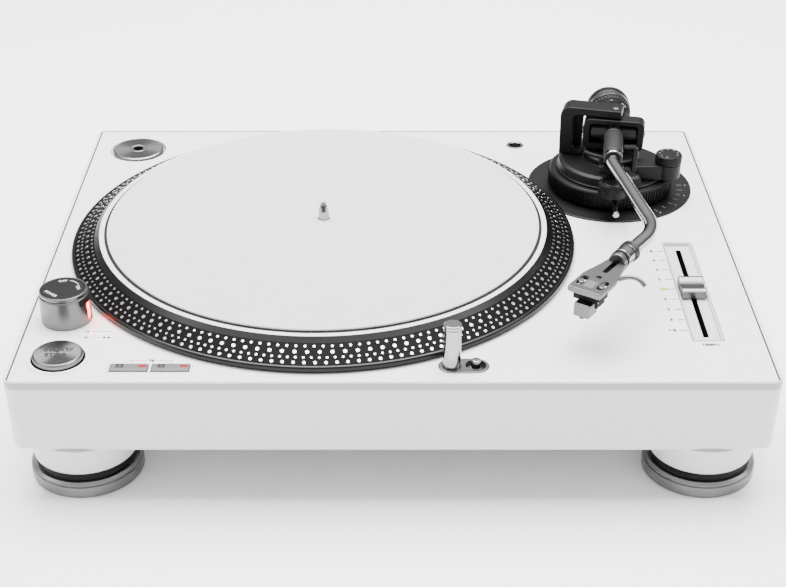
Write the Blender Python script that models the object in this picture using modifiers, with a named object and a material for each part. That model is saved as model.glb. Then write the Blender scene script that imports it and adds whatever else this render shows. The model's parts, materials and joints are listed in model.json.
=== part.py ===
"""Direct-drive record player with an S-shaped arm, modelled as separate working pieces.

World frame: origin on the floor under the middle of the cabinet, +X to the right,
+Y to the rear, +Z up. Lengths below are in millimetres; MM turns them into metres.
"""
import math

import bmesh
import bpy
from mathutils import Matrix, Vector

MM = 0.001
FIT = 0.3                       # gap between pieces that touch

# Cabinet
WIDTH, DEPTH = 450.0, 352.0
TOP = 85.4                      # height of the cabinet's top face above the floor
SIDE_HEIGHT = 46.8
CORNER = 7.0
EDGE = 2.8
WALL = 3.5
TOP_PLATE = 5.0

# Feet
FOOT_X, FOOT_Y = 190.0, 140.0
FOOT_RADIUS = 34.5

# Platter
SPINDLE_X, SPINDLE_Y = -45.8, -2.1
PLATTER_RADIUS = 166.0
PLATTER_TOP = 14.3              # above the top face
MAT_RADIUS = 142.0
MAT_THICKNESS = 1.2
SHAFT_RADIUS = 3.5

# Arm
PIVOT_X, PIVOT_Y = 153.8, 79.1
AXIS_Z = 41.0                   # arm axis above the top face
HOLDER_ANGLE = math.radians(7.5)
TUBE_ANGLE = math.radians(8.9)
SHELL_ANGLE = math.radians(34.2)
GIMBAL_ANGLE = math.radians(11.0)
GIMBAL_DEPTH = 11.5
YOKE_ANGLE = math.radians(14.0)
YOKE_DEPTH = 15.0
YOKE_SETBACK = 3.5              # the yoke's middle plane behind the pivot
REAR_ANGLE = math.radians(1.0)
TUBE_RADIUS = 3.65
TUBE_START = (146.9, 29.5)      # first bend
BEND_RADIUS = 38.0
COLLAR_X, COLLAR_Y = 139.8, -99.0
SHELL_LENGTH = 54.0             # collar centre to the front edge of the headshell
SHELL_HALF_WIDTH = 10.75

# Controls on the top face, by their centres
STROBE = (-199.2, -105.0)
START = (-196.5, -150.5)
SPEED = (-141.3, -161.6)
SPEED_PITCH = 24.2
LIGHT = (34.2, -159.0)
RELEASE = (48.2, -159.0)
FADER = (188.6, -69.2)
ADAPTER = (-189.9, 139.7)
SOCKET = (91.5, 148.0)
KNOB = (190.5, 61.0)            # anti-skate knob
REAR_PANEL_X = -10.0

WHITE = ("white", (0.86, 0.86, 0.84), 0.35, 0.0)
BLACK = ("black", (0.02, 0.02, 0.02), 0.45, 0.0)
CHROME = ("chrome", (0.75, 0.75, 0.76), 0.12, 1.0)
SILVER = ("silver", (0.62, 0.62, 0.62), 0.32, 1.0)
STEEL = ("steel", (0.45, 0.45, 0.46), 0.4, 1.0)
FELT = ("felt", (0.80, 0.80, 0.79), 0.95, 0.0)
RED = ("red", (0.75, 0.02, 0.01), 0.25, 0.0)
GREEN = ("green", (0.03, 0.20, 0.07), 0.5, 0.0)
COPPER = ("copper", (0.55, 0.25, 0.12), 0.35, 1.0)


# ---------------------------------------------------------------- scene and helpers
def clear_scene():
    for obj in list(bpy.data.objects):
        bpy.data.objects.remove(obj, do_unlink=True)


def collection(name):
    group = bpy.data.collections.new(name)
    bpy.context.scene.collection.children.link(group)
    return group


clear_scene()
PARTS = collection("record_player")
CUTTERS = collection("cutters")


def place(obj, at, rotation=(0.0, 0.0, 0.0)):
    obj.location = Vector(at) * MM
    obj.rotation_euler = rotation


def paint(obj, look):
    """Give the object a material of its own."""
    name, colour, roughness, metallic = look
    mat = bpy.data.materials.new(obj.name + "_" + name)
    mat.use_nodes = True
    shader = mat.node_tree.nodes["Principled BSDF"]
    shader.inputs["Base Color"].default_value = (*colour, 1.0)
    shader.inputs["Roughness"].default_value = roughness
    shader.inputs["Metallic"].default_value = metallic
    obj.data.materials.clear()
    obj.data.materials.append(mat)


def add(name, mesh, at, look, rotation=(0.0, 0.0, 0.0)):
    """Link a mesh as a piece, or as a cutter when it has no look."""
    obj = bpy.data.objects.new(name, mesh)
    place(obj, at, rotation)
    if look is None:
        CUTTERS.objects.link(obj)
        obj.hide_render = True
        obj.display_type = "WIRE"
    else:
        PARTS.objects.link(obj)
        paint(obj, look)
    return obj


def block(name, size, at, look, corner=0.0, rim=0.0, rotation=(0.0, 0.0, 0.0)):
    """A box on its centre, with upright edges rounded and its top rim bevelled."""
    bm = bmesh.new()
    bmesh.ops.create_cube(bm, size=1.0)
    bmesh.ops.scale(bm, vec=Vector(size) * MM, verts=bm.verts)
    half = size[2] * MM / 2
    if corner:
        upright = [e for e in bm.edges if abs(e.verts[0].co.z - e.verts[1].co.z) > half]
        bmesh.ops.bevel(bm, geom=upright, offset=corner * MM, segments=4,
                        profile=0.5, affect="EDGES")
    if rim:
        top = [e for e in bm.edges if min(v.co.z for v in e.verts) > half * 0.999]
        bmesh.ops.bevel(bm, geom=top, offset=rim * MM, segments=2,
                        profile=0.5, affect="EDGES")
    mesh = bpy.data.meshes.new(name)
    bm.to_mesh(mesh)
    bm.free()
    return add(name, mesh, at, look, rotation)


def turned(name, profile, at, look, steps=40, ring=False, rotation=(0.0, 0.0, 0.0)):
    """A turned piece from (radius, height) points running down its outer side."""
    points = [(r * MM, 0.0, z * MM) for r, z in profile]
    edges = [(i, i + 1) for i in range(len(points) - 1)]
    if ring:
        edges.append((len(points) - 1, 0))
    mesh = bpy.data.meshes.new(name)
    mesh.from_pydata(points, edges, [])
    obj = add(name, mesh, at, look, rotation)
    screw = obj.modifiers.new("turn", "SCREW")
    screw.axis = "Z"
    screw.steps = steps
    screw.render_steps = steps
    screw.use_merge_vertices = True
    screw.merge_threshold = 0.00001
    screw.use_smooth_shade = True
    return obj


def rod(name, radius, top, bottom, at, look, steps=24, rotation=(0.0, 0.0, 0.0), edge=0.0):
    """A solid cylinder between two heights, with an optional chamfer on top."""
    profile = [(0.0, top), (radius - edge, top)]
    if edge:
        profile.append((radius, top - edge))
    profile += [(radius, bottom), (0.0, bottom)]
    return turned(name, profile, at, look, steps, rotation=rotation)


def arc(centre, radius, start, end, count):
    """Points along an arc, its angles in degrees."""
    points = []
    for i in range(count + 1):
        angle = math.radians(start + (end - start) * i / count)
        points.append((centre[0] + radius * math.cos(angle),
                       centre[1] + radius * math.sin(angle)))
    return points


def curve_mesh(name, curve):
    """Turn a curve into a closed mesh and drop the curve."""
    guide = bpy.data.objects.new(name + "_curve", curve)
    bpy.context.scene.collection.objects.link(guide)
    bpy.context.view_layer.update()
    seen = guide.evaluated_get(bpy.context.evaluated_depsgraph_get())
    mesh = bpy.data.meshes.new_from_object(seen)
    bpy.data.objects.remove(guide, do_unlink=True)
    bm = bmesh.new()
    bm.from_mesh(mesh)
    bmesh.ops.remove_doubles(bm, verts=bm.verts, dist=0.000005)
    bmesh.ops.recalc_face_normals(bm, faces=bm.faces)
    bm.to_mesh(mesh)
    bm.free()
    mesh.name = name
    return mesh


def plate(name, outline, thickness, at, look, rotation=(0.0, 0.0, 0.0)):
    """A flat outline given a thickness, centred on its plane."""
    curve = bpy.data.curves.new(name, "CURVE")
    curve.dimensions = "2D"
    curve.fill_mode = "BOTH"
    curve.extrude = thickness * MM / 2
    spline = curve.splines.new("POLY")
    spline.points.add(len(outline) - 1)
    for point, (x, y) in zip(spline.points, outline):
        point.co = (x * MM, y * MM, 0.0, 1.0)
    spline.use_cyclic_u = True
    return add(name, curve_mesh(name, curve), at, look, rotation)


def wire(name, path, radius, at, look, sides=3):
    """A round bar along a list of points."""
    curve = bpy.data.curves.new(name, "CURVE")
    curve.dimensions = "3D"
    curve.bevel_depth = radius * MM
    curve.bevel_resolution = sides
    curve.use_fill_caps = True
    spline = curve.splines.new("POLY")
    spline.points.add(len(path) - 1)
    for point, place_at in zip(spline.points, path):
        point.co = (*(Vector(place_at) * MM), 1.0)
    return add(name, curve_mesh(name, curve), at, look)


def combine(obj, tool, operation):
    step = obj.modifiers.new(operation.lower(), "BOOLEAN")
    step.operation = operation
    step.solver = "EXACT"
    step.object = tool


def cut(obj, tool):
    combine(obj, tool, "DIFFERENCE")


def join(obj, tool):
    combine(obj, tool, "UNION")


def sharpen(angle=math.radians(35)):
    """Smooth the round pieces and keep their edges crisp."""
    for obj in PARTS.objects:
        if obj.type == "MESH":
            obj.data.shade_smooth()
            obj.data.set_sharp_from_angle(angle=angle)


def hole(name, radius, at, depth, obj, top=1.0, steps=28):
    """A round hole that starts just above the top face."""
    tool = rod(name, radius, top, -depth, (at[0], at[1], TOP), None, steps)
    cut(obj, tool)


def axis_empty(name, at):
    empty = bpy.data.objects.new(name, None)
    empty.empty_display_size = 0.02
    place(empty, at)
    PARTS.objects.link(empty)
    return empty


def ride(parent, *pieces):
    """Parent pieces to an axis without moving them."""
    bpy.context.view_layer.update()
    for piece in pieces:
        piece.parent = parent
        piece.matrix_parent_inverse = parent.matrix_world.inverted()


# ---------------------------------------------------------------- cabinet and feet
def stadium(half_gap, radius):
    right = arc((half_gap, 0.0), radius, -90, 90, 9)
    left = arc((-half_gap, 0.0), radius, 90, 270, 9)
    return right + left


def make_cabinet():
    cabinet = block("cabinet", (WIDTH, DEPTH, SIDE_HEIGHT), (0, 0, TOP - SIDE_HEIGHT / 2),
                    WHITE, corner=CORNER, rim=EDGE)
    inside = 60.0
    cut(cabinet, block("cut_inside", (WIDTH - 2 * WALL, DEPTH - 2 * WALL, inside),
                       (0, 0, TOP - TOP_PLATE - inside / 2), None, corner=CORNER - WALL))
    hole("cut_motor", 62.0, (SPINDLE_X, SPINDLE_Y), 8.0, cabinet, steps=40)
    hole("cut_strobe", 12.0, STROBE, 8.0, cabinet)
    hole("cut_start", 16.3, START, 8.0, cabinet)
    hole("cut_adapter", 20.6, ADAPTER, 3.0, cabinet)
    hole("cut_socket", 6.4, SOCKET, 8.0, cabinet)
    hole("cut_arm", 16.0, (PIVOT_X, PIVOT_Y), 8.0, cabinet)
    cut(cabinet, block("cut_speed", (49.6, 10.2, 12.0), (*SPEED, TOP - 2), None, corner=0.8))
    cut(cabinet, block("cut_fader", (19.6, 124.8, 12.0), (*FADER, TOP - 2), None))
    middle = ((LIGHT[0] + RELEASE[0]) / 2, LIGHT[1], TOP - 2)
    half_gap = (RELEASE[0] - LIGHT[0]) / 2
    cut(cabinet, plate("cut_light", stadium(half_gap, 8.0), 12.0, middle, None))
    cut(cabinet, block("cut_rear", (210.0, 12.0, 30.0),
                       (REAR_PANEL_X, DEPTH / 2 - 1, TOP - 25.0), None))
    return cabinet


def make_base_cover():
    return block("base_cover", (440.0, 342.0, 4.3), (0, 0, TOP - 49.25), WHITE, corner=10.0)


def make_foot(name, x, y):
    """A white housing with a blind bore, and a chrome ring on a stud that turns in it."""
    housing = [(0, -51.7), (33.5, -51.7), (31.8, -69.6), (30.0, -70.4), (30.0, -74.7),
               (5.3, -74.7), (5.3, -55.5), (0, -55.5)]
    ring = [(0, -56.0), (5.0, -56.0), (5.0, -75.0), (33.0, -75.0), (34.2, -76.6),
            (FOOT_RADIUS, -77.2), (FOOT_RADIUS, -TOP), (0, -TOP)]
    at = (x, y, TOP)
    return (turned(name + "_housing", housing, at, WHITE, 24),
            turned(name + "_ring", ring, at, CHROME, 24))


def make_feet():
    for side, x in (("left", -FOOT_X), ("right", FOOT_X)):
        for end, y in (("front", -FOOT_Y), ("rear", FOOT_Y)):
            make_foot("foot_" + end + "_" + side, x, y)


# ---------------------------------------------------------------- drive and platter
def make_drive():
    at = (SPINDLE_X, SPINDLE_Y, TOP)
    stator = [(14, 2.0), (44, 2.0), (44, -5.3), (70, -5.3), (70, -7.5), (14, -7.5)]
    turned("motor_stator", stator, at, COPPER, 28, ring=True)
    housing = [(0, -34.0), (3.8, -34.0), (3.8, 0.5), (9, 0.5), (9, -7.8), (20, -7.8),
               (20, -10.5), (9, -10.5), (9, -36.0), (0, -36.0)]
    turned("bearing_housing", housing, at, STEEL, 20)


def make_platter():
    at = (SPINDLE_X, SPINDLE_Y, TOP)
    edge = PLATTER_RADIUS
    profile = [(3.9, PLATTER_TOP), (147.0, PLATTER_TOP), (150.3, 11.5), (163.6, 4.5),
               (edge, 4.5), (edge, 1.6), (157.5, 1.6), (145.5, 9.6), (14.0, 9.6),
               (14.0, 3.0), (3.9, 3.0)]
    platter = turned("platter", profile, at, SILVER, 72, ring=True)
    mat_low = PLATTER_TOP + FIT
    mat_high = mat_low + MAT_THICKNESS
    mat_profile = [(3.9, mat_high), (MAT_RADIUS, mat_high), (MAT_RADIUS, mat_low),
                   (3.9, mat_low)]
    mat = turned("slipmat", mat_profile, at, FELT, 64, ring=True)
    pin = [(0, 28.0), (1.2, 27.6), (2.5, 24.8), (SHAFT_RADIUS, 20.5), (SHAFT_RADIUS, -33.5),
           (0, -33.5)]
    spindle = turned("spindle", pin, at, CHROME, 24)
    magnet = turned("rotor_magnet", [(48, 9.3), (56, 9.3), (56, -3.5), (48, -3.5)], at,
                    STEEL, 28, ring=True)
    ride(axis_empty("platter_axis", at), platter, mat, spindle, magnet)


# ---------------------------------------------------------------- controls
def make_strobe():
    at = (*STROBE, TOP)
    tower = [(0, 7.0), (4.3, 7.0), (4.3, 18.3), (14.5, 18.3), (15.5, FIT), (11.7, FIT),
             (11.7, -8.0), (0, -8.0)]
    housing = turned("strobe_housing", tower, at, SILVER, 28)
    turn = math.radians(15)
    toward = (STROBE[0] + 13.6 * math.cos(turn), STROBE[1] + 13.6 * math.sin(turn))
    cut(housing, block("cut_window", (5.6, 7.0, 15.6), (*toward, TOP + 9.4), None,
                       rotation=(0, 0, turn)))
    lamp = (STROBE[0] + 12.6 * math.cos(turn), STROBE[1] + 12.6 * math.sin(turn))
    block("strobe_window", (3.0, 6.4, 15.0), (*lamp, TOP + 9.4), RED, rotation=(0, 0, turn))
    knob = [(0, 21.0), (13.6, 21.0), (14.4, 20.3), (14.4, 18.6), (4.0, 18.6), (4.0, 8.0),
            (0, 8.0)]
    turned("power_knob", knob, at, BLACK, 28)


def make_start_button():
    at = (*START, TOP)
    bezel = [(15.35, 0.2), (16.0, 0.2), (16.0, -5.5), (3.3, -5.5), (3.3, -3.8), (15.35, -3.8)]
    turned("start_stop_bezel", bezel, at, WHITE, 28, ring=True)
    button = [(0, 3.9), (13.8, 3.9), (15.0, 3.0), (15.0, -2.0), (3.0, -2.0), (3.0, -10.0),
              (0, -10.0)]
    turned("start_stop_button", button, at, SILVER, 28)


def make_speed_buttons():
    bezel = block("speed_bezel", (49.0, 9.6, 5.2), (*SPEED, TOP - 2.4), WHITE, corner=0.6)
    for name, side in (("button_33", -0.5), ("button_45", 0.5)):
        x = SPEED[0] + side * SPEED_PITCH
        cut(bezel, block("cut_" + name, (22.9, 8.2, 12.0), (x, SPEED[1], TOP), None))
        block(name, (22.3, 7.6, 6.2), (x, SPEED[1], TOP - 1.9), SILVER, rim=0.5)


def make_target_light():
    half_gap = (RELEASE[0] - LIGHT[0]) / 2
    middle = (LIGHT[0] + half_gap, LIGHT[1], TOP - 2.3)
    cover = plate("target_escutcheon", stadium(half_gap, 7.7), 5.4, middle, SILVER)
    hole("cut_cover_light", 5.5, LIGHT, 8.0, cover, top=3.0, steps=24)
    hole("cut_cover_well", 6.1, RELEASE, 3.2, cover, top=3.0, steps=24)
    hole("cut_cover_stem", 2.0, RELEASE, 8.0, cover, top=-2.0, steps=16)
    rod("target_light", 5.2, 28.6, -8.0, (*LIGHT, TOP), CHROME, 24, edge=0.6)
    button = [(0, 4.5), (2.4, 4.5), (2.9, 4.0), (2.9, -0.8), (1.7, -0.8), (1.7, -12.0),
              (0, -12.0)]
    turned("release_button", button, (*RELEASE, TOP), CHROME, 24)


def make_fader():
    x, y = FADER
    panel = block("fader_panel", (19.0, 124.2, 5.1), (x, y, TOP - 2.45), WHITE)
    cut(panel, block("cut_panel_floor", (16.6, 121.8, 6.0), (x, y, TOP + 1.0), None))
    cut(panel, block("cut_panel_slot", (3.2, 109.8, 12.0), (x, y, TOP - 3.0), None))
    body = block("fader_body", (14.0, 130.0, 12.7), (x, y, TOP - 11.65), STEEL)
    cut(body, block("cut_body_slot", (3.6, 112.0, 20.0), (x, y, TOP - 4.0), None))
    cap = block("fader_cap", (15.2, 20.0, 6.0), (x, y, TOP + 1.6), SILVER, rim=0.8)
    cut(cap, rod("cut_cap_hollow", 16.0, 12.0, -12.0, (x, y, TOP + 19.2), None, 48,
                 rotation=(0, math.pi / 2, 0)))
    join(cap, block("cap_stem", (2.2, 6.0, 13.0), (x, y, TOP - 6.0), None))


def make_adapter():
    profile = [(3.65, 1.2), (17.6, 1.2), (18.3, 0.6), (18.3, -2.7), (3.65, -2.7)]
    turned("adapter_45", profile, (*ADAPTER, TOP), SILVER, 28, ring=True)


def make_socket():
    profile = [(0, -4.0), (4.2, -4.0), (4.2, 0.4), (6.0, 0.4), (6.0, -8.0), (0, -8.0)]
    turned("headshell_socket", profile, (*SOCKET, TOP), CHROME, 24)


# ---------------------------------------------------------------- arm base
def around_pivot(radius, degrees):
    """A point around the arm pivot, its angle from the front toward the left."""
    angle = math.radians(degrees)
    return (PIVOT_X - radius * math.sin(angle), PIVOT_Y - radius * math.cos(angle))


def make_arm_base():
    at = (PIVOT_X, PIVOT_Y, TOP)
    turned("arm_base_plate", [(17, 1.2), (57.6, 1.2), (57.6, FIT), (17, FIT)], at, BLACK, 48,
           ring=True)
    ring = [(38.3, 14.5), (42.8, 14.5), (43.5, 13.8), (43.5, 2.8), (42.8, 2.0), (38.3, 2.0)]
    turned("height_ring", ring, at, BLACK, 48, ring=True)
    profile = [(4, 27.0), (18, 27.0), (19, 26.0), (19, 22.4), (36, 22.4), (37.2, 21.2),
               (37.9, 16.0), (37.9, 2.3), (4, 2.3)]
    base = turned("arm_base", profile, at, BLACK, 32, ring=True)
    facing = math.radians(205)
    away = (PIVOT_X - 32 * math.cos(facing), PIVOT_Y - 32 * math.sin(facing), TOP + 26.0)
    step = block("cut_turret", (62.0, 100.0, 20.0), away, None, rotation=(0, 0, facing))
    column = rod("keep_column", 19.2, 40.0, 10.0, at, None, 32)
    cut(step, column)
    cut(base, step)
    stem = around_pivot(26.0, 24.0)
    cut(base, rod("cut_stem_bore", 2.2, 30.0, 5.0, (*stem, TOP), None, 16))
    lock = rod("height_lock", 4.0, 12.0, 1.9, (*around_pivot(50.0, -165.0), TOP), BLACK, 24)
    handle = around_pivot(50.5, -158.0)
    join(lock, block("lock_handle", (14.0, 3.6, 3.0), (*handle, TOP + 10.0), None,
                     rotation=(0, 0, math.radians(-20))))


def yoke_outline():
    """The bracket's side view: a post on the left, a bar over the pivot, a foot below."""
    outer = arc((-30.5, 50.5), 7.0, 180, 90, 5)
    inner = arc((-25.0, 48.8), 3.2, 90, 180, 4)
    foot = [(-28.2, 29.0), (-26.0, 26.5), (-20.6, 25.0), (-20.6, 22.7), (-37.0, 22.7)]
    return outer + [(4.5, 57.5), (4.5, 52.0)] + inner + foot


def make_yoke():
    at = (PIVOT_X + YOKE_SETBACK * math.sin(YOKE_ANGLE),
          PIVOT_Y + YOKE_SETBACK * math.cos(YOKE_ANGLE), TOP)
    return plate("yoke", yoke_outline(), YOKE_DEPTH, at, BLACK,
                 rotation=(math.pi / 2, 0, -YOKE_ANGLE))


def make_arm_rest():
    """A lifter cup in front of the base, and the cross bar the arm parks over."""
    cup_x, cup_y = 149.0, 30.0
    cup = [(7.0, 26.5), (9.8, 26.5), (9.8, 17.5), (7.0, 17.5)]
    rest = turned("arm_rest", cup, (cup_x, cup_y, TOP), BLACK, 24, ring=True)
    join(rest, block("rest_web", (8.0, 4.0, 4.0), (cup_x, 38.8, TOP + 20.0), None))
    join(rest, block("rest_post", (6.0, 3.6, 12.6), (cup_x - 1, 38.9, TOP + 24.5), None))
    join(rest, block("rest_bar", (22.0, 4.4, 3.0), (150.0, 39.5, TOP + 30.5), None))
    join(rest, block("rest_lug", (4.4, 4.0, 4.0), (141.6, 39.5, TOP + 31.5), None))
    clip = block("arm_clip", (3.4, 4.0, 17.0), (163.3, 39.5, TOP + 38.5), BLACK)
    join(clip, block("clip_nib", (8.0, 4.0, 1.4), (159.4, 39.5, TOP + 47.6), None))


def make_antiskate():
    x, y = KNOB
    bracket = block("antiskate_bracket", (20.0, 15.0, 9.8), (181.5, 61.0, TOP + 21.6), BLACK)
    join(bracket, rod("bracket_end", 9.0, 26.5, 16.7, (x, y, TOP), None, 32))
    rod("antiskate_knob", 9.2, 33.0, 26.8, (x, y, TOP), BLACK, 28, edge=0.5)


def make_cue():
    """The lift bar under the arm, and the lever that lowers it."""
    bar = [(*around_pivot(26.0, angle), 33.0) for angle in range(-6, 57, 6)]
    lift = wire("cue_lift", bar, 1.2, (0, 0, TOP), BLACK, 2)
    stem = around_pivot(26.0, 24.0)
    join(lift, rod("lift_stem", 1.7, 33.0, 12.0, (*stem, TOP), None, 16))
    hub = (150.5, 30.0, TOP + 13.6)
    lever = rod("cue_lever", 2.6, 4.0, -4.0, hub, CHROME, 24, rotation=(0, math.pi / 2, 0))
    join(lever, rod("lever_pin", 2.1, 24.0, 0.0, hub, None, 24,
                    rotation=(math.pi / 2, 0, math.radians(-4))))


# ---------------------------------------------------------------- arm
def make_gimbal():
    at = (PIVOT_X, PIVOT_Y, TOP)
    tilt = (math.pi / 2, 0, -GIMBAL_ANGLE)
    outline = []
    for x, z, start in ((16, 46.4, 0), (-16, 46.4, 90), (-16, 34.4, 180), (16, 34.4, 270)):
        outline += arc((x, z), 5.0, start, start + 90, 4)
    ring = plate("gimbal_ring", outline, GIMBAL_DEPTH, at, BLACK, rotation=tilt)
    cut(ring, block("cut_gimbal", (33.2, 2 * GIMBAL_DEPTH, 14.6),
                    (PIVOT_X, PIVOT_Y, TOP + AXIS_Z), None, rotation=(0, 0, -GIMBAL_ANGLE)))
    return ring


def bar_rotation(angle):
    """Turn +Z to point forward, swung by an angle from the front toward the left."""
    return (math.pi / 2, 0, -angle)


def make_arm_holder():
    at = (PIVOT_X, PIVOT_Y, TOP + AXIS_Z)
    holder = rod("arm_holder", 5.5, 46.0, -6.0, at, STEEL, 32, edge=0.8,
                 rotation=bar_rotation(HOLDER_ANGLE))
    join(holder, rod("bearing_barrel", 4.3, 15.9, -15.9, at, None, 24,
                     rotation=(0, math.pi / 2, -GIMBAL_ANGLE)))
    join(holder, rod("rear_stub", 3.2, 46.0, -4.0, at, None, 24,
                     rotation=(-math.pi / 2, 0, -REAR_ANGLE)))
    return holder


def fillet(corner, before, after, radius, count):
    """Points that round a corner between two straight runs."""
    corner = Vector(corner)
    back = (Vector(before) - corner).normalized()
    ahead = (Vector(after) - corner).normalized()
    half = back.angle(ahead) / 2
    reach = radius / math.tan(half)
    centre = corner + (back + ahead).normalized() * (radius / math.sin(half))
    first = corner + back * reach - centre
    turn = math.pi - 2 * half
    sign = 1.0 if back.cross(ahead) < 0 else -1.0
    points = []
    for i in range(count + 1):
        spin = Matrix.Rotation(sign * turn * i / count, 2)
        points.append(tuple(centre + spin @ first))
    return points


def arm_point(along, across=0.0):
    """A point in the headshell's plan: along it from the collar, and to its right."""
    forward = Vector((-math.sin(SHELL_ANGLE), -math.cos(SHELL_ANGLE)))
    right = Vector((math.cos(SHELL_ANGLE), -math.sin(SHELL_ANGLE)))
    return tuple(Vector((COLLAR_X, COLLAR_Y)) + forward * along + right * across)


def tube_bend():
    """Where the straight tube's line meets the headshell's line."""
    tube = Vector((math.sin(TUBE_ANGLE), -math.cos(TUBE_ANGLE)))
    back = Vector((math.sin(SHELL_ANGLE), math.cos(SHELL_ANGLE)))
    gap = Vector((COLLAR_X, COLLAR_Y)) - Vector(TUBE_START)
    return tuple(Vector(TUBE_START) + tube * (gap.cross(back) / tube.cross(back)))


def make_arm_tube():
    start = (PIVOT_X - 46.4 * math.sin(HOLDER_ANGLE), PIVOT_Y - 46.4 * math.cos(HOLDER_ANGLE))
    bend = tube_bend()
    end = arm_point(7.0)
    path = [start]
    path += fillet(TUBE_START, start, bend, 7.0, 3)
    path += fillet(bend, TUBE_START, end, BEND_RADIUS, 10)
    path.append(end)
    return wire("arm_tube", [(*p, AXIS_Z) for p in path], TUBE_RADIUS, (0, 0, TOP), CHROME, 4)


def shell_outline():
    """Half-widths along the headshell, mirrored to a closed outline."""
    stations = [(12.0, 5.6), (16.0, 6.2), (21.0, 7.5), (26.0, 8.7), (31.0, 10.0),
                (35.0, SHELL_HALF_WIDTH), (SHELL_LENGTH - 1, SHELL_HALF_WIDTH),
                (SHELL_LENGTH, SHELL_HALF_WIDTH - 1)]
    right = [(half, -along) for along, half in stations]
    left = [(-half, -along) for along, half in reversed(stations)]
    return right + left


def make_headshell():
    at = (COLLAR_X, COLLAR_Y, TOP)
    turn = (0, 0, -SHELL_ANGLE)
    shell = plate("headshell", shell_outline(), 3.0, (*at[:2], TOP + 40.0), SILVER,
                  rotation=turn)
    join(shell, rod("shell_neck", 5.6, 20.0, 7.4, (*at[:2], TOP + AXIS_Z), None, 24,
                    rotation=bar_rotation(SHELL_ANGLE)))
    cut(shell, block("cut_shell_slot", (3.4, 15.0, 30.0), (*arm_point(20.5), TOP + 50.0), None,
                     rotation=turn))
    for side in (-1, 1):
        cut(shell, block("cut_screw_slot", (3.4, 11.0, 20.0),
                         (*arm_point(43.0, side * 6.6), TOP + 41.0), None, corner=1.6,
                         rotation=turn))
    collar = [(4.0, 7.0), (5.7, 7.0), (5.7, 1.0), (6.3, 0.6), (6.3, -6.0), (5.5, -6.8),
              (4.0, -6.8)]
    turned("arm_collar", collar, (*at[:2], TOP + AXIS_Z), SILVER, 24, ring=True,
           rotation=bar_rotation(SHELL_ANGLE))
    bar = [(*arm_point(29.0, 10.3), 40.2), (*arm_point(28.0, 13.5), 42.2),
           (*arm_point(27.0, 18.0), 43.2), (*arm_point(26.6, 22.5), 42.2),
           (*arm_point(27.0, 25.8), 39.8)]
    wire("finger_lift", bar, 1.0, (0, 0, TOP), SILVER, 3)


def make_cartridge():
    turn = (0, 0, -SHELL_ANGLE)
    body = block("cartridge", (10.0, 10.8, 8.8), (*arm_point(49.6), TOP + 28.4), SILVER,
                 rotation=turn, rim=0.3)
    join(body, block("cartridge_mount", (15.6, 13.0, 5.6), (*arm_point(45.0), TOP + 35.4), None,
                     rotation=turn))
    tip = [(0, 23.7), (1.6, 23.7), (1.6, 23.2), (0.35, 22.4), (0, 22.4)]
    turned("stylus", tip, (*arm_point(53.2), TOP), BLACK, 12)


def make_weights():
    at = (PIVOT_X, PIVOT_Y, TOP + AXIS_Z)
    back = (-math.pi / 2, 0, -REAR_ANGLE)
    sleeve = [(3.6, 43.5), (4.8, 43.5), (4.8, 23.0), (3.6, 23.0)]
    dial = [(5.1, 31.0), (14.4, 31.0), (14.4, 27.5), (10.0, 23.5), (5.1, 23.5)]
    weight = [(5.1, 45.0), (14.6, 45.0), (15.6, 44.2), (15.6, 37.8), (15.1, 37.4),
              (15.1, 31.3), (5.1, 31.3)]
    turned("weight_sleeve", sleeve, at, STEEL, 16, ring=True, rotation=back)
    turned("weight_dial", dial, at, BLACK, 28, ring=True, rotation=back)
    turned("counterweight", weight, at, BLACK, 32, ring=True, rotation=back)


# ---------------------------------------------------------------- inside and rear
def make_electronics():
    supply = block("power_supply", (96.0, 70.0, 6.0), (-150.0, 100.0, TOP - 43.0), STEEL)
    join(supply, block("transformer_core", (52.0, 44.0, 26.0), (-160.0, 100.0, TOP - 33.0),
                       None))
    join(supply, block("transformer_coil", (36.0, 58.0, 18.0), (-160.0, 100.0, TOP - 32.0),
                       None, corner=4.0))
    board = block("main_board", (180.0, 90.0, 1.6), (70.0, -60.0, TOP - 40.0), GREEN)
    for i, x in enumerate((10.0, 55.0, 110.0)):
        join(board, block("chip_" + str(i), (16.0, 16.0, 4.0), (x, -60.0, TOP - 38.0), None))


def make_rear():
    x, wall_y = REAR_PANEL_X, DEPTH / 2
    pan = block("rear_panel", (209.4, 17.0, 29.4), (x, wall_y - 8.8, TOP - 25.0), BLACK)
    cut(pan, block("cut_pan", (205.0, 17.0, 25.0), (x, wall_y - 6.8, TOP - 25.0), None))
    face_y = wall_y - 15.3 + FIT
    outward = (-math.pi / 2, 0, 0)
    jacks = block("phono_jacks", (34.0, 2.0, 16.0), (x + 70.0, face_y + 1.0, TOP - 25.0), SILVER)
    for i, side in enumerate((-8.0, 8.0)):
        join(jacks, rod("jack_" + str(i), 4.2, 10.0, 0.5, (x + 70.0 + side, face_y, TOP - 25.0),
                        None, 20, rotation=outward))
    ground = [(0, 9.0), (4.0, 9.0), (4.0, 3.0), (2.0, 3.0), (2.0, 0.0), (0, 0.0)]
    turned("ground_terminal", ground, (x + 40.0, face_y, TOP - 25.0), CHROME, 20,
           rotation=outward)
    inlet = block("power_inlet", (28.0, 12.0, 20.0), (x - 80.0, face_y + 6.0, TOP - 25.0), BLACK)
    cut(inlet, block("cut_inlet", (24.0, 12.0, 16.0), (x - 80.0, face_y + 8.0, TOP - 25.0),
                     None))


make_cabinet()
make_base_cover()
make_feet()
make_drive()
make_platter()
make_strobe()
make_start_button()
make_speed_buttons()
make_target_light()
make_fader()
make_adapter()
make_socket()
make_arm_base()
make_yoke()
make_arm_rest()
make_antiskate()
make_cue()
make_gimbal()
make_arm_holder()
make_arm_tube()
make_headshell()
make_cartridge()
make_weights()
make_electronics()
make_rear()
sharpen()
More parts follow.
